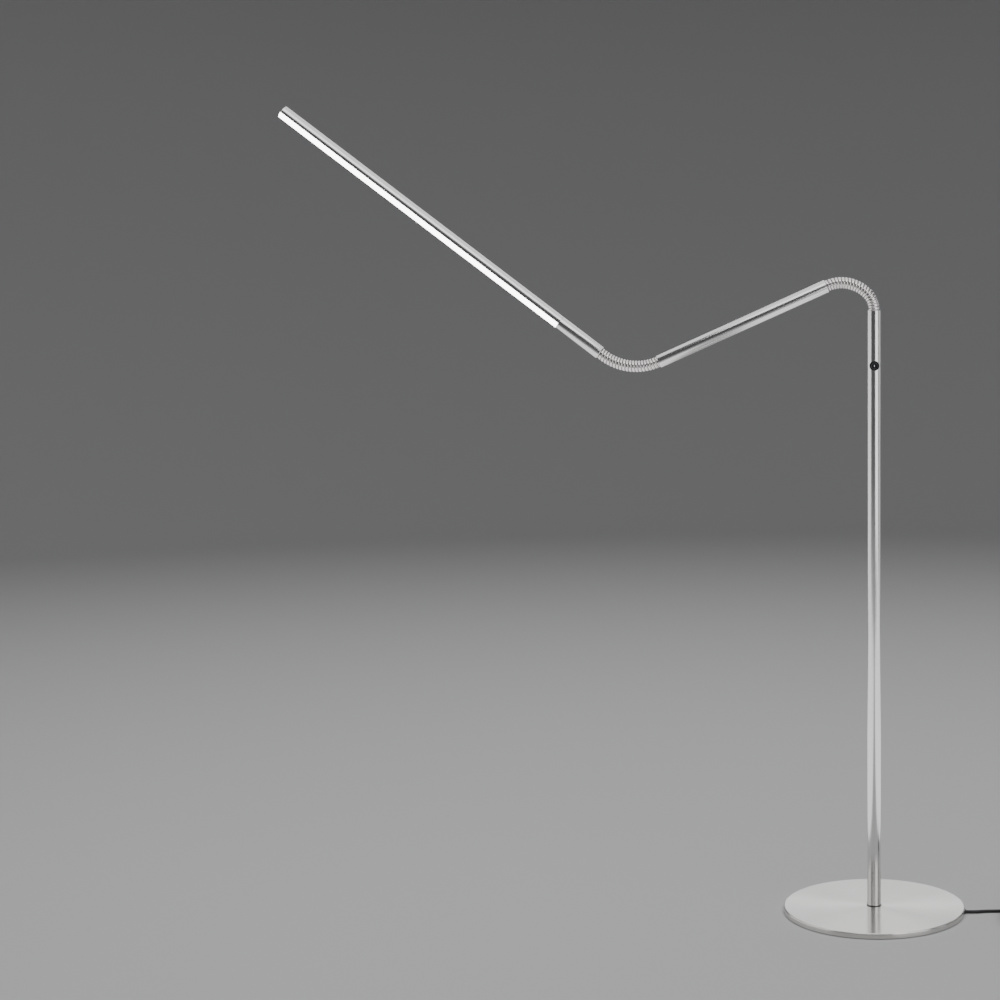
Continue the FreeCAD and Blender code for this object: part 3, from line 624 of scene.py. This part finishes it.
finishes = {
    "base": turned_metal("turned_base_steel"),
    "pole": brushed_metal("brushed_pole_steel", UPRIGHT),
    "arm": brushed_metal("brushed_arm_steel", arm_way),
    "head": brushed_metal("brushed_bar_aluminium", head_way),
    "neck": ribbed_metal("satin_rib_steel"),
    "hardware": grained("zinc_plated_steel", (0.52, 0.53, 0.54), (0.66, 0.66, 0.66), 0.3, 0.42,
                        grain=0.0008, relief=0.1, metallic=1.0),
    "iron": grained("painted_cast_iron", (0.045, 0.045, 0.047), (0.075, 0.075, 0.077), 0.5, 0.65,
                    grain=0.0015, relief=0.5),
    "foam": grained("foam_rubber", (0.03, 0.03, 0.03), (0.055, 0.055, 0.055), 0.85, 0.95,
                    grain=0.0008, relief=0.6),
    "rubber": grained("black_rubber", (0.014, 0.014, 0.015), (0.026, 0.026, 0.027), 0.45, 0.6, relief=0.15),
    "jacket": grained("cord_jacket", (0.012, 0.010, 0.012), (0.024, 0.021, 0.024), 0.38, 0.5,
                      grain=0.0004, relief=0.1),
    "adaptor": grained("textured_black_plastic", (0.016, 0.016, 0.017), (0.03, 0.03, 0.031), 0.5, 0.6,
                       grain=0.0004, relief=0.4),
    "pins": grained("nickel_plating", (0.66, 0.64, 0.60), (0.76, 0.74, 0.70), 0.16, 0.26,
                    grain=0.0006, relief=0.02, metallic=1.0),
    "ring": grained("foot_ring_black", (0.006, 0.006, 0.006), (0.011, 0.011, 0.011), 0.16, 0.28,
                    grain=0.001, relief=0.02, coat=0.5),
    "gloss": grained("glossy_black_plastic", (0.004, 0.004, 0.005), (0.007, 0.007, 0.008), 0.06, 0.12,
                     grain=0.001, relief=0.02, coat=0.6),
    "button": grained("button_black_plastic", (0.009, 0.009, 0.011), (0.014, 0.014, 0.016), 0.12, 0.20,
                      grain=0.001, relief=0.02, coat=0.4),
    "marker": grained("pale_marker_plastic", (0.66, 0.67, 0.70), (0.74, 0.75, 0.78), 0.25, 0.35,
                      grain=0.001, relief=0.02),
    "board": grained("green_solder_mask", (0.02, 0.14, 0.06), (0.03, 0.20, 0.09), 0.25, 0.4, relief=0.1),
    "lead": grained("white_lead_jacket", (0.66, 0.66, 0.64), (0.76, 0.76, 0.74), 0.4, 0.5, relief=0.1),
    "nylon": grained("black_nylon", (0.03, 0.03, 0.03), (0.05, 0.05, 0.05), 0.4, 0.55, relief=0.2),
    "white_board": grained("white_solder_mask", (0.80, 0.80, 0.78), (0.88, 0.88, 0.86), 0.3, 0.4,
                           relief=0.05),
    "phosphor": grained("yellow_phosphor", (0.85, 0.62, 0.16), (0.95, 0.76, 0.26), 0.25, 0.35, relief=0.05),
    "opal": opal("lit_opal_diffuser"),
}


# ---- Base ----------------------------------------------------------------------------------------
def arch_bar(name, radius, top, start, end):
    """Bar with a round top and straight sides down through the floor, towards the cord's exit."""
    bpy.ops.mesh.primitive_cylinder_add(vertices=48, radius=radius, depth=end - start, end_fill_type="NGON",
                                        location=(0, 0, 0), rotation=(0, math.pi / 2, 0))
    bar = named(name)
    slice_off(bar, (0, 0, 0), (0, 0, 1))
    choose(bar, "FACE", lambda co, normal: normal.z < -0.9)
    bpy.ops.mesh.extrude_region_move(TRANSFORM_OT_translate={"value": (0, 0, -NOTCH_SKIRT)})
    done()
    bar.location = ((start + end) / 2, 0, top - radius)
    take(bar)
    bpy.ops.object.transform_apply(location=True, rotation=False, scale=False)
    bar.rotation_euler = (0, 0, EXIT_ANGLE)
    bpy.ops.object.transform_apply(location=False, rotation=True, scale=False)
    return bar


def make_base_cover():
    cover = rod("base_cover_turned", BASE_R, PAD_TOP, BASE_TOP, sides=288)
    choose(cover, "FACE", lambda co, normal: normal.z < -0.9)
    bpy.ops.mesh.delete(type="FACE")
    done()
    soften(cover, ring_edge(BASE_TOP), RIM_ROUNDING, segments=7)
    choose(cover, "FACE", lambda co, normal: normal.z > 0.999 and radius_of(co) < MM)
    bpy.ops.mesh.inset(thickness=BASE_R - RIM_ROUNDING - COVER_HOLE_R)
    bpy.ops.mesh.delete(type="FACE")
    done()
    apply(cover, "SOLIDIFY", thickness=COVER_WALL, offset=-1, use_even_offset=True)
    cut(cover, arch_bar("notch_cutter", NOTCH_R, NOTCH_TOP, NOTCH_START, NOTCH_END))
    soften(cover, ring_edge(PAD_TOP, radius=BASE_R), RIM_FOOT_EASE, segments=2)
    finish_piece(cover, "stand", finishes["base"], "base_metal", "base_cover", angle=30)


def make_grommet():
    """Grommet that fills the notch, with a rounded outer face and the cord's hole."""
    grommet = arch_bar("cord_grommet_moulded", NOTCH_R - MOULD_GAP, NOTCH_TOP - MOULD_GAP,
                       GROMMET_START, GROMMET_FACE)
    slice_off(grommet, (0, 0, PAD_TOP), (0, 0, 1))
    hole_r = CORD_R + MOULD_GAP
    bpy.ops.mesh.primitive_cylinder_add(vertices=40, radius=hole_r, depth=2 * THROUGH,
                                        location=(0, 0, 0), rotation=(0, math.pi / 2, 0))
    hole = named("hole_cutter")
    hole.location = exit_point
    hole.rotation_euler = (0, 0, EXIT_ANGLE)
    cut(grommet, hole)

    def face_outline(a, b):
        on_face = min(a.dot(exit_way), b.dot(exit_way)) > GROMMET_FACE - TINY
        beyond_hole = min((a - exit_point).length, (b - exit_point).length) > hole_r + 2 * TINY
        return on_face and beyond_hole and max(a.z, b.z) > PAD_TOP + TINY

    soften(grommet, face_outline, GROMMET_EASE)
    finish_piece(grommet, "stand", finishes["rubber"], "black_rubber", "cord_grommet")


def make_foot_ring():
    ring = rod("foot_ring_moulded", FOOT_RING_R, BASE_TOP, POLE_FOOT)
    soften(ring, ring_edge(POLE_FOOT), FOOT_RING_EASE, segments=4)
    cut(ring, rod("ring_cutter", STUD_HOLE_R, 0, THROUGH))
    finish_piece(ring, "stand", finishes["ring"], "black_rubber", "foot_ring")


# ---- Tubes ---------------------------------------------------------------------------------------
def tube(name, low, high):
    """Tube with its ends sawn square and their edges broken."""
    piece = rod(name, TUBE_R, low, high, ends="NOTHING")
    apply(piece, "SOLIDIFY", thickness=TUBE_R - BORE_R, offset=-1, use_even_offset=True)
    soften(piece, ring_edge(low, high), EASE)
    return piece


def make_pole():
    pole = tube("pole_brushed", POLE_FOOT, pole_top.z)
    cut(pole, facing_front(rod("button_cutter", BEZEL_R + BEZEL_FIT, 0, 2 * TUBE_R, sides=64)))
    finish_piece(pole, "stand", finishes["pole"], "tube_metal", "pole_tube")


def make_arm():
    arm = laid(tube("arm_brushed", 0, ARM_LENGTH), arm_start, arm_way)
    finish_piece(arm, "arm", finishes["arm"], "tube_metal", "arm_tube")


def make_collar():
    collar = laid(tube("collar_brushed", 0, COLLAR_LENGTH), head_start, head_way)
    finish_piece(collar, "head", finishes["head"], "tube_metal", "collar_tube")


# ---- Button --------------------------------------------------------------------------------------
def facing_front(piece):
    """Turn an upright piece to face the front at the button's height."""
    return placed(piece, Matrix.Translation((0, 0, BUTTON_Z)) @ Matrix.Rotation(math.pi / 2, 4, "X"))


def make_bezel():
    """Ring with a rounded lip, and a floor with the stem's guide hole."""
    ring = rod("switch_bezel_moulded", BEZEL_R, BEZEL_BACK, BEZEL_FACE, sides=64)
    cut(ring, rod("seat_cutter", CAP_R + CAP_GAP, BEZEL_FLOOR, THROUGH, sides=64))
    cut(ring, rod("guide_cutter", GUIDE_R, 0, THROUGH, sides=32))
    soften(ring, ring_edge(BEZEL_FACE), BEZEL_LIP, segments=5)
    finish_piece(facing_front(ring), "stand", finishes["gloss"], "bezel_black", "switch_bezel")


def make_button():
    """Cap with a raised rim round a shallow dish, on its stem, and the pale marker in the dish."""
    cap = rod("switch_button_moulded", CAP_R, CAP_BACK, CAP_FACE, sides=64)
    choose(cap, "FACE", lambda co, normal: normal.z > 0.9)
    bpy.ops.mesh.inset(thickness=CAP_RIM)
    bpy.ops.mesh.inset(thickness=DISH_SLOPE)
    bpy.ops.transform.translate(value=(0, 0, -DISH_DEPTH))
    for _ in range(DISH_STEPS):
        bpy.ops.mesh.inset(thickness=DISH_STEP_WIDTH)
        bpy.ops.transform.translate(value=(0, 0, -DISH_STEP_DEPTH))
    done()
    soften(cap, ring_edge(CAP_FACE), CAP_EASE)
    stem = rod("button_stem", STEM_R, STEM_BACK, STEM_FRONT, sides=32)
    button = joined("switch_button_moulded", cap, stem)
    marker = block("switch_marker", (-MARKER_WIDTH / 2, -MARKER_HEIGHT / 2, MARKER_BACK),
                   (MARKER_WIDTH / 2, MARKER_HEIGHT / 2, MARKER_FACE))
    soften(marker, lambda a, b: abs(a.z - b.z) > TINY, MARKER_ROUNDING, segments=5)
    finish_piece(facing_front(marker), "button", finishes["marker"], None)
    finish_piece(facing_front(button), "button", finishes["button"], "button_black", "switch_button")


# ---- Goosenecks ----------------------------------------------------------------------------------
def arc_points(point, heading, length, turn):
    """Points along an arc or straight in the XZ plane, its end left out, and where it ends."""
    count = max(1, round(length / LINE_STEP))
    points = []
    for i in range(count):
        points.append(point.copy())
        middle = heading + turn * (i + 0.5) / count
        point = point + Vector((math.cos(middle), 0, math.sin(middle))) * (length / count)
    return points, point, heading + turn


def neck_line(name, start, heading, pieces):
    """Curve along a neck's middle, from one hidden end to the other, with its points."""
    points = []
    way = Vector((math.cos(heading), 0, math.sin(heading)))
    point = start - way * RIB_PITCH
    for length, turn in [(RIB_PITCH, 0.0), *pieces, (RIB_PITCH, 0.0)]:
        more, point, heading = arc_points(point, heading, length, turn)
        points += more
    points.append(point)
    return line_through(name, "POLY", points), points


def straight_hose():
    """Wound hose along +X: a ridge with a narrow flat top and round shoulders, screwed round and along."""
    half = RIB_PITCH / 2
    bpy.ops.mesh.primitive_plane_add(size=RIB_PITCH, rotation=(math.pi / 2, 0, 0))
    ridge = named("hose_profile")
    choose(ridge, "VERT", lambda co: co.x > 0)
    bpy.ops.mesh.bevel(offset=SHOULDER_R, segments=6, profile=0.5, affect="VERTICES")
    done()
    choose(ridge, "VERT", lambda co: co.x < TINY - half)
    bpy.ops.transform.translate(value=(2 * half - SHOULDER_R - RIDGE_BACK, 0, 0))
    done()
    choose(ridge, "EDGE", lambda a, b: max(a.x, b.x) < half - SHOULDER_R - TINY)
    bpy.ops.mesh.delete(type="EDGE")
    done()
    all_of(ridge)
    bpy.ops.transform.resize(value=((CREST_R - ROOT_R) / SHOULDER_R, 1, 1), center_override=(half, 0, 0))
    bpy.ops.transform.translate(value=(CREST_R - half, 0, -RIB_PITCH))
    done()
    apply(ridge, "SCREW", angle=2 * math.pi, screw_offset=RIB_PITCH, iterations=NECK_RIBS + SPARE_TURNS,
          steps=SCREW_STEPS, render_steps=SCREW_STEPS, axis="Z", use_normal_calculate=True)
    all_of(ridge)
    bpy.ops.mesh.remove_doubles(threshold=TINY)
    bpy.ops.mesh.normals_make_consistent(inside=False)
    done()
    return turned_to_x(ridge)


def between(piece, low, high):
    """Keep only what lies between two places along +X, closed at both."""
    slice_off(piece, (low, 0, 0), (1, 0, 0))
    slice_off(piece, (high, 0, 0), (-1, 0, 0))


def long_rod(name, radius, low, high, sides, rings):
    """Rod along +X with rings enough to bend."""
    piece = rod(name, radius, low, high, sides=sides)
    choose(piece, "EDGE", lambda a, b: abs(a.z - b.z) > (high - low) / 2)
    bpy.ops.mesh.subdivide(number_cuts=rings)
    done()
    return turned_to_x(piece)


def mark_grooves(piece):
    """Store on a straight hose how deep each place lies in a groove, from 0 on a crest to 1."""
    depth = piece.data.attributes.new("groove", "FLOAT", "POINT")
    for vertex in piece.data.vertices:
        radius = math.hypot(vertex.co.y, vertex.co.z)
        depth.data[vertex.index].value = min(1.0, max(0.0, (CREST_R - radius) / (CREST_R - ROOT_R)))


def make_neck(prefix, start, heading, pieces):
    """Neck in zones, each bent along the neck's middle line, with the lead in its bore."""
    line, points = neck_line(prefix + "_line", start, heading, pieces)
    hose = straight_hose()
    zone = NECK_LENGTH / NECK_ZONES
    for number in range(1, NECK_ZONES + 1):
        low = RIB_PITCH + zone * (number - 1) if number > 1 else 0.0
        high = RIB_PITCH + zone * number if number < NECK_ZONES else NECK_LENGTH + 2 * RIB_PITCH
        ribs = copy_of(hose, f"{prefix}_neck_ribs_{number}")
        between(ribs, low, high)
        cut(ribs, long_rod("bore_cutter", NECK_BORE_R, low - MM, high + MM, sides=32, rings=8))
        mark_grooves(ribs)
        lead = long_rod(f"{prefix}_neck_lead_{number}", LEAD_R, low, high, sides=12, rings=10)
        for piece in (ribs, lead):
            apply(piece, "CURVE", object=line, deform_axis="POS_X")
        entry = middle_point(points, RIB_PITCH + zone * (number - 1 + ZONE_HOLD))
        leave = middle_point(points, RIB_PITCH + zone * (number - ZONE_HOLD))
        sections = [f"{prefix}_neck_section_{number}"]
        if number == NECK_ZONES:
            sections.append(f"{prefix}_neck_section_{number + 1}")
        finish_piece(ribs, None, finishes["neck"], "neck_metal", *sections, angle=50)
        finish_piece(lead, None, finishes["lead"], "lead_jacket", f"{prefix}_neck_lead")
        for piece in (ribs, lead):
            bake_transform(piece)
    bpy.data.objects.remove(hose)
    bpy.data.objects.remove(line)


def middle_point(points, distance):
    """Point at a distance along a row of points."""
    run = 0.0
    for a, b in zip(points, points[1:]):
        step = (b - a).length
        if run + step >= distance:
            return a.lerp(b, (distance - run) / step)
        run += step
    return points[-1]


def heading_of(way):
    return math.atan2(way.z, way.x) % (2 * math.pi)


def make_necks():
    tight = UPPER_TIGHT_R * UPPER_TIGHT_TURN
    upper_turn = heading_of(arm_way) - heading_of(pole_way)
    make_neck("upper", pole_top, heading_of(pole_way),
              [(tight, UPPER_TIGHT_TURN), (NECK_LENGTH - tight, upper_turn - UPPER_TIGHT_TURN)])
    lower_turn = heading_of(head_way) - heading_of(arm_way)
    bend = LOWER_R * abs(lower_turn)
    make_neck("lower", arm_end, heading_of(arm_way), [(bend, lower_turn), (NECK_LENGTH - bend, 0.0)])


# ---- Light bar -----------------------------------------------------------------------------------
def make_housing():
    """Round extrusion, open below, with its cross wall and the two lips that hold the diffuser."""
    shell = rod("bar_shell", TUBE_R, BAR_START, METAL_END, sides=128, ends="NOTHING")
    apply(shell, "SOLIDIFY", thickness=TUBE_R - BORE_R, offset=-1, use_even_offset=True)
    slice_off(shell, (BAR_CHORD, 0, 0), (1, 0, 0))
    web = block("bar_web", (WEB_BOTTOM, -WEB_HALF, BAR_START), (WEB_TOP, WEB_HALF, METAL_END))
    lips = [block("bar_lip", (BAR_CHORD, low, BAR_START), (BAR_CHORD + LIP_HEIGHT, high, METAL_END))
            for low, high in ((-LIP_OUTER, -LIP_INNER), (LIP_INNER, LIP_OUTER))]
    housing = laid(joined("bar_housing_brushed", shell, web, *lips), head_start, head_way)
    finish_piece(housing, "head", finishes["head"], "bar_metal", "bar_housing")


def make_diffuser():
    """Opal trough with closed ends, flush with the housing."""
    trough = rod("bar_diffuser_opal", TUBE_R - BAR_GAP, BAR_START, HEAD_LENGTH, sides=128)
    soften(trough, ring_edge(BAR_START, HEAD_LENGTH), EASE)
    all_of(trough)
    bpy.ops.mesh.bisect(plane_co=(BAR_CHORD - BAR_GAP, 0, 0), plane_no=(1, 0, 0), clear_outer=True)
    done()
    apply(trough, "SOLIDIFY", thickness=DIFFUSER_WALL, offset=-1, use_even_offset=True)
    legs = [block("diffuser_leg", (LEG_BOTTOM, low, BAR_START + LEG_SETBACK),
                  (LEG_TOP, high, METAL_END - TONGUE_LENGTH))
            for low, high in ((-LEG_OUTER, -LEG_INNER), (LEG_INNER, LEG_OUTER))]
    diffuser = laid(joined("bar_diffuser_opal", trough, *legs), head_start, head_way)
    finish_piece(diffuser, "head", finishes["opal"], "opal_diffuser", "bar_diffuser")


def make_end_cap():
    """Plate over the housing's end, with broken edges, and its tongue inside."""
    plate = rod("bar_end_cap_brushed", TUBE_R, METAL_END + BAR_GAP, HEAD_LENGTH, sides=128)
    slice_off(plate, (BAR_CHORD, 0, 0), (1, 0, 0))
    soften(plate, lambda a, b: min(a.z, b.z) > HEAD_LENGTH - TINY, EASE)
    tongue = rod("cap_tongue", BORE_R - MOULD_GAP, METAL_END - TONGUE_LENGTH, METAL_END + 2 * BAR_GAP,
                 sides=64)
    slice_off(tongue, (TONGUE_FLOOR, 0, 0), (1, 0, 0))
    cap = laid(joined("bar_end_cap_brushed", plate, tongue), head_start, head_way)
    finish_piece(cap, "head", finishes["head"], "bar_metal", "bar_end_cap")


# ---- Supply cord ---------------------------------------------------------------------------------
def coil_point(turns):
    """Point of the coil: it spirals in and out and climbs where the spiral reverses."""
    layer_at = turns / COIL_LAYER_TURNS
    layer = math.floor(layer_at + 1e-9)
    inwards = layer_at - layer
    if layer % 2:
        inwards = 1 - inwards
    radius = COIL_OUTER_R - COIL_STEP * COIL_LAYER_TURNS * inwards
    radius /= math.cos(math.pi / POINTS_PER_TURN)
    nearest = round(layer_at)
    climb = 0.0
    if nearest > 0:
        climb = max(-1.0, min(1.0, (turns - nearest * COIL_LAYER_TURNS) / COIL_CLIMB_TURNS))
    level = nearest - 0.5 + 0.5 * climb if nearest > 0 else 0.0
    angle = math.radians(360 * turns - 90)
    return (COIL_CENTRE[0] + radius * math.cos(angle), COIL_CENTRE[1] + radius * math.sin(angle),
            CORD_ROUTE[-1][2] + COIL_STEP * level)


def make_cord():
    """The cord in one line, from the grommet along the floor and through its coil to the adaptor."""
    points = [exit_point / MM, *CORD_ROUTE]
    steps = round(COIL_TURNS * POINTS_PER_TURN)
    points += [coil_point(i / POINTS_PER_TURN) for i in range(steps + 1)]
    _, y, z = points[-1]
    leftover = 1 - COIL_TURNS / COIL_LAYER_TURNS % 1
    x = COIL_CENTRE[0] - COIL_OUTER_R + COIL_STEP * COIL_LAYER_TURNS * leftover
    points[-1] = (x, y, z)
    points += [(x, y - COIL_STRAIGHT / 2, z), (x, y - COIL_STRAIGHT, z)]
    cord = line_through("supply_cord_whole", "NURBS", [(x * MM, y * MM, z * MM) for x, y, z in points])
    spline = cord.data.splines[0]
    spline.order_u = 3
    spline.use_endpoint_u = True
    spline.resolution_u = 6
    cord.data.bevel_depth = CORD_R
    cord.data.bevel_resolution = 5
    cord.data.use_fill_caps = True
    return finish_piece(cord, "stand", finishes["jacket"], "cord_jacket", "supply_cord", "supply_cord_coil")


def make_adaptor():
    """Plug-in driver with a parting groove."""
    low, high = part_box("wall_adaptor")
    body = block("wall_adaptor_moulded", low, high)
    soften(body, lambda a, b: abs(a.y - b.y) > ADAPTOR_LONG_EDGE, ADAPTOR_CORNER, segments=6)

    def end_edge(a, b):
        return abs(a.y - b.y) < TINY and min(abs(a.y - low.y), abs(a.y - high.y)) < TINY

    soften(body, end_edge, ADAPTOR_EASE)
    seam = high.x - SEAM_FROM_FACE
    for place in (seam, seam + SEAM_WIDTH):
        all_of(body)
        bpy.ops.mesh.bisect(plane_co=(place, 0, 0), plane_no=(1, 0, 0))
        done()
    choose(body, "FACE", lambda co, normal: seam < co.x < seam + SEAM_WIDTH and abs(normal.x) < 0.5)
    bpy.ops.mesh.extrude_region_shrink_fatten(TRANSFORM_OT_shrink_fatten={"value": -SEAM_DEPTH})
    done()
    return finish_piece(body, "stand", finishes["adaptor"], "adaptor_plastic", "wall_adaptor")


def make_pins():
    """Two round pins with bullet tips, each with a black sleeve on its inner half."""
    low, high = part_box("adaptor_pins")
    pins = []
    sleeves = []
    for z in (low.z + PIN_R, high.z - PIN_R):
        pin = rod("pin", PIN_R, 0, high.x - low.x, sides=32)
        soften(pin, ring_edge(high.x - low.x), PIN_TIP, segments=4)
        sleeve = rod("pin_sleeve", PIN_SLEEVE_R, 0, PIN_SLEEVE_LENGTH, sides=32, ends="NOTHING")
        apply(sleeve, "SOLIDIFY", thickness=PIN_SLEEVE_WALL, offset=-1)
        place = Matrix.Translation((low.x, (low.y + high.y) / 2, z)) @ Matrix.Rotation(math.pi / 2, 4, "Y")
        pins.append(placed(pin, place))
        sleeves.append(placed(sleeve, place))
    pins = joined("adaptor_pins_plated", *pins)
    sleeves = joined("adaptor_pin_sleeves", *sleeves)
    finish_piece(pins, "stand", finishes["pins"], "pin_metal", "adaptor_pins")
    finish_piece(sleeves, "stand", finishes["adaptor"], "adaptor_plastic")
    return pins, sleeves


def make_cord_sleeve():
    """Tapered strain relief with ring grooves."""
    low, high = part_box("adaptor_sleeve")
    cone_length = high.y - low.y - RELIEF_CONE_START
    bpy.ops.mesh.primitive_cone_add(vertices=48, radius1=RELIEF_CONE_R, radius2=RELIEF_TIP_R,
                                    depth=cone_length, location=(0, 0, RELIEF_CONE_START + cone_length / 2))
    cone = named("sleeve_cone")
    for i in range(RELIEF_GROOVES):
        bottom = RELIEF_FIRST_GROOVE + i * RELIEF_GROOVE_PITCH
        top = bottom + RELIEF_GROOVE_WIDTH
        for place in (bottom, top):
            all_of(cone)
            bpy.ops.mesh.bisect(plane_co=(0, 0, place), plane_no=(0, 0, 1))
            done()
        choose(cone, "FACE", lambda co, normal: bottom < co.z < top and radius_of(co) > MM)
        bpy.ops.mesh.extrude_region_shrink_fatten(TRANSFORM_OT_shrink_fatten={"value": -RELIEF_GROOVE_DEPTH})
        done()
    root = rod("sleeve_root", RELIEF_ROOT_R, 0, RELIEF_ROOT_LENGTH, sides=48)
    soften(root, ring_edge(RELIEF_ROOT_LENGTH), RELIEF_ROOT_EASE, segments=4)
    sleeve = joined("adaptor_sleeve_moulded", cone, root)
    placed(sleeve, Matrix.Translation(((low.x + high.x) / 2, low.y, (low.z + high.z) / 2))
           @ Matrix.Rotation(-math.pi / 2, 4, "X"))
    return finish_piece(sleeve, "stand", finishes["rubber"], "black_rubber", "adaptor_sleeve")


def make_supply():
    cord = make_cord()
    adaptor = make_adaptor()
    pins, pin_sleeves = make_pins()
    sleeve = make_cord_sleeve()


# ---- Inner pieces keep their shape and get their finish ------------------------------------------
INNER = {
    "base_weight": "iron", "base_pad": "foam", "cord_stop": "nylon", "base_cord": "jacket",
    "pole_foot_plug": "hardware", "pole_stud": "hardware", "stud_nut": "hardware", "pole_lead": "lead",
    "pole_feed": "lead", "dimmer_board": "board", "pole_socket": "hardware",
    "arm_upper_socket": "hardware", "arm_lower_socket": "hardware", "arm_lead": "lead",
    "collar_socket": "hardware", "bar_joiner": "hardware", "led_board": "white_board",
    "led_chips": "phosphor", "board_screws": "hardware", "head_lead": "lead",
}


def paint_inner_pieces():
    for name, finish in INNER.items():
        materials = frame["nodes"][name].data.materials
        materials.clear()
        materials.append(finishes[finish])


# ---- Floor, light and camera ---------------------------------------------------------------------
def make_floor():
    """Pale floor that curves up into a round wall, so wide that every view is from within it."""
    bpy.ops.mesh.primitive_cylinder_add(vertices=128, radius=STUDIO_R, depth=STUDIO_HEIGHT,
                                        end_fill_type="NGON", location=(0, 0, STUDIO_HEIGHT / 2))
    floor = named("studio_floor")
    choose(floor, "FACE", lambda co, normal: normal.z > 0.9)
    bpy.ops.mesh.delete(type="FACE")
    done()
    soften(floor, ring_edge(0), STUDIO_SWEEP, segments=24)
    all_of(floor)
    bpy.ops.mesh.flip_normals()
    done()
    smooth(floor)
    paint, tree, shader, _ = material("pale_floor")
    feed(tree, shader, {"Base Color": FLOOR_PAINT, "Roughness": 0.8})
    floor.data.materials.append(paint)
    return floor


def area_light(name, place, target, size, power, spared):
    """Soft panel that the camera doesn't see, and that leaves the spared pieces unlit."""
    light = bpy.data.lights.new(name, "AREA")
    light.shape = "RECTANGLE"
    light.size, light.size_y = size
    light.energy = power
    made = bpy.data.objects.new(name, light)
    made.location = place
    made.rotation_euler = (Vector(target) - Vector(place)).to_track_quat("-Z", "Y").to_euler()
    made.visible_camera = False
    bpy.context.scene.collection.objects.link(made)
    if spared:
        lit = bpy.data.collections.new(name + "_lit")
        made.light_linking.receiver_collection = lit
        for piece in spared:
            lit.objects.link(piece)
        for entry in lit.collection_objects:
            entry.light_linking.link_state = "EXCLUDE"


def make_lights(floor):
    """Large soft panels all round, with a gap behind the camera for the tubes' dark line.

    Two panels near the floor light the tubes from below. Only the two high ones light the floor."""
    world = bpy.data.worlds.new("studio")
    world.use_nodes = True
    world.node_tree.nodes["Background"].inputs["Color"].default_value = ROOM_SHADE
    bpy.context.scene.world = world
    for name, place, target, size, power, spared in (
            ("overhead", (-0.4, 0.8, 3.7), (-0.4, 0.8, 0), (6.0, 5.0), 110, []),
            ("front_top", (0.3, -2.6, 3.9), (-0.1, 0, 1.1), (4.6, 1.9), 56, []),
            ("right_front", (2.1, -2.1, 1.0), (0, 0, 0.9), (2.7, 2.4), 38, [floor]),
            ("right_side", (3.1, 1.0, 1.1), (0, 0, 0.9), (3.0, 2.4), 13, [floor]),
            ("left_side", (-3.1, 0.3, 1.1), (0, 0, 0.9), (5.0, 2.4), 46, [floor]),
            ("back", (0.3, 4.6, 2.4), (0, 0, 0.6), (2.2, 3.8), 36, [floor]),
            ("left_bounce", (-1.35, -0.1, 0.06), (-1.35, -0.1, 2), (2.4, 2.4), 17, [floor]),
            ("right_bounce", (1.35, -0.1, 0.06), (1.35, -0.1, 2), (2.4, 2.4), 17, [floor])):
        area_light(name, place, target, size, power, spared)


def make_camera():
    camera = bpy.data.cameras.new("photo_view")
    camera.lens = CAMERA_LENS
    camera.sensor_width = CAMERA_SENSOR
    camera.shift_x, camera.shift_y = CAMERA_SHIFT
    made = bpy.data.objects.new("photo_view", camera)
    made.location = CAMERA_PLACE
    made.rotation_euler = (math.pi / 2, 0, 0)
    bpy.context.scene.collection.objects.link(made)
    bpy.context.scene.camera = made


make_camera()
make_lights(make_floor())
make_supply()
make_base_cover()
make_grommet()
make_foot_ring()
make_pole()
make_bezel()
make_button()
make_necks()
make_arm()
make_collar()
make_housing()
make_diffuser()
make_end_cap()
paint_inner_pieces()
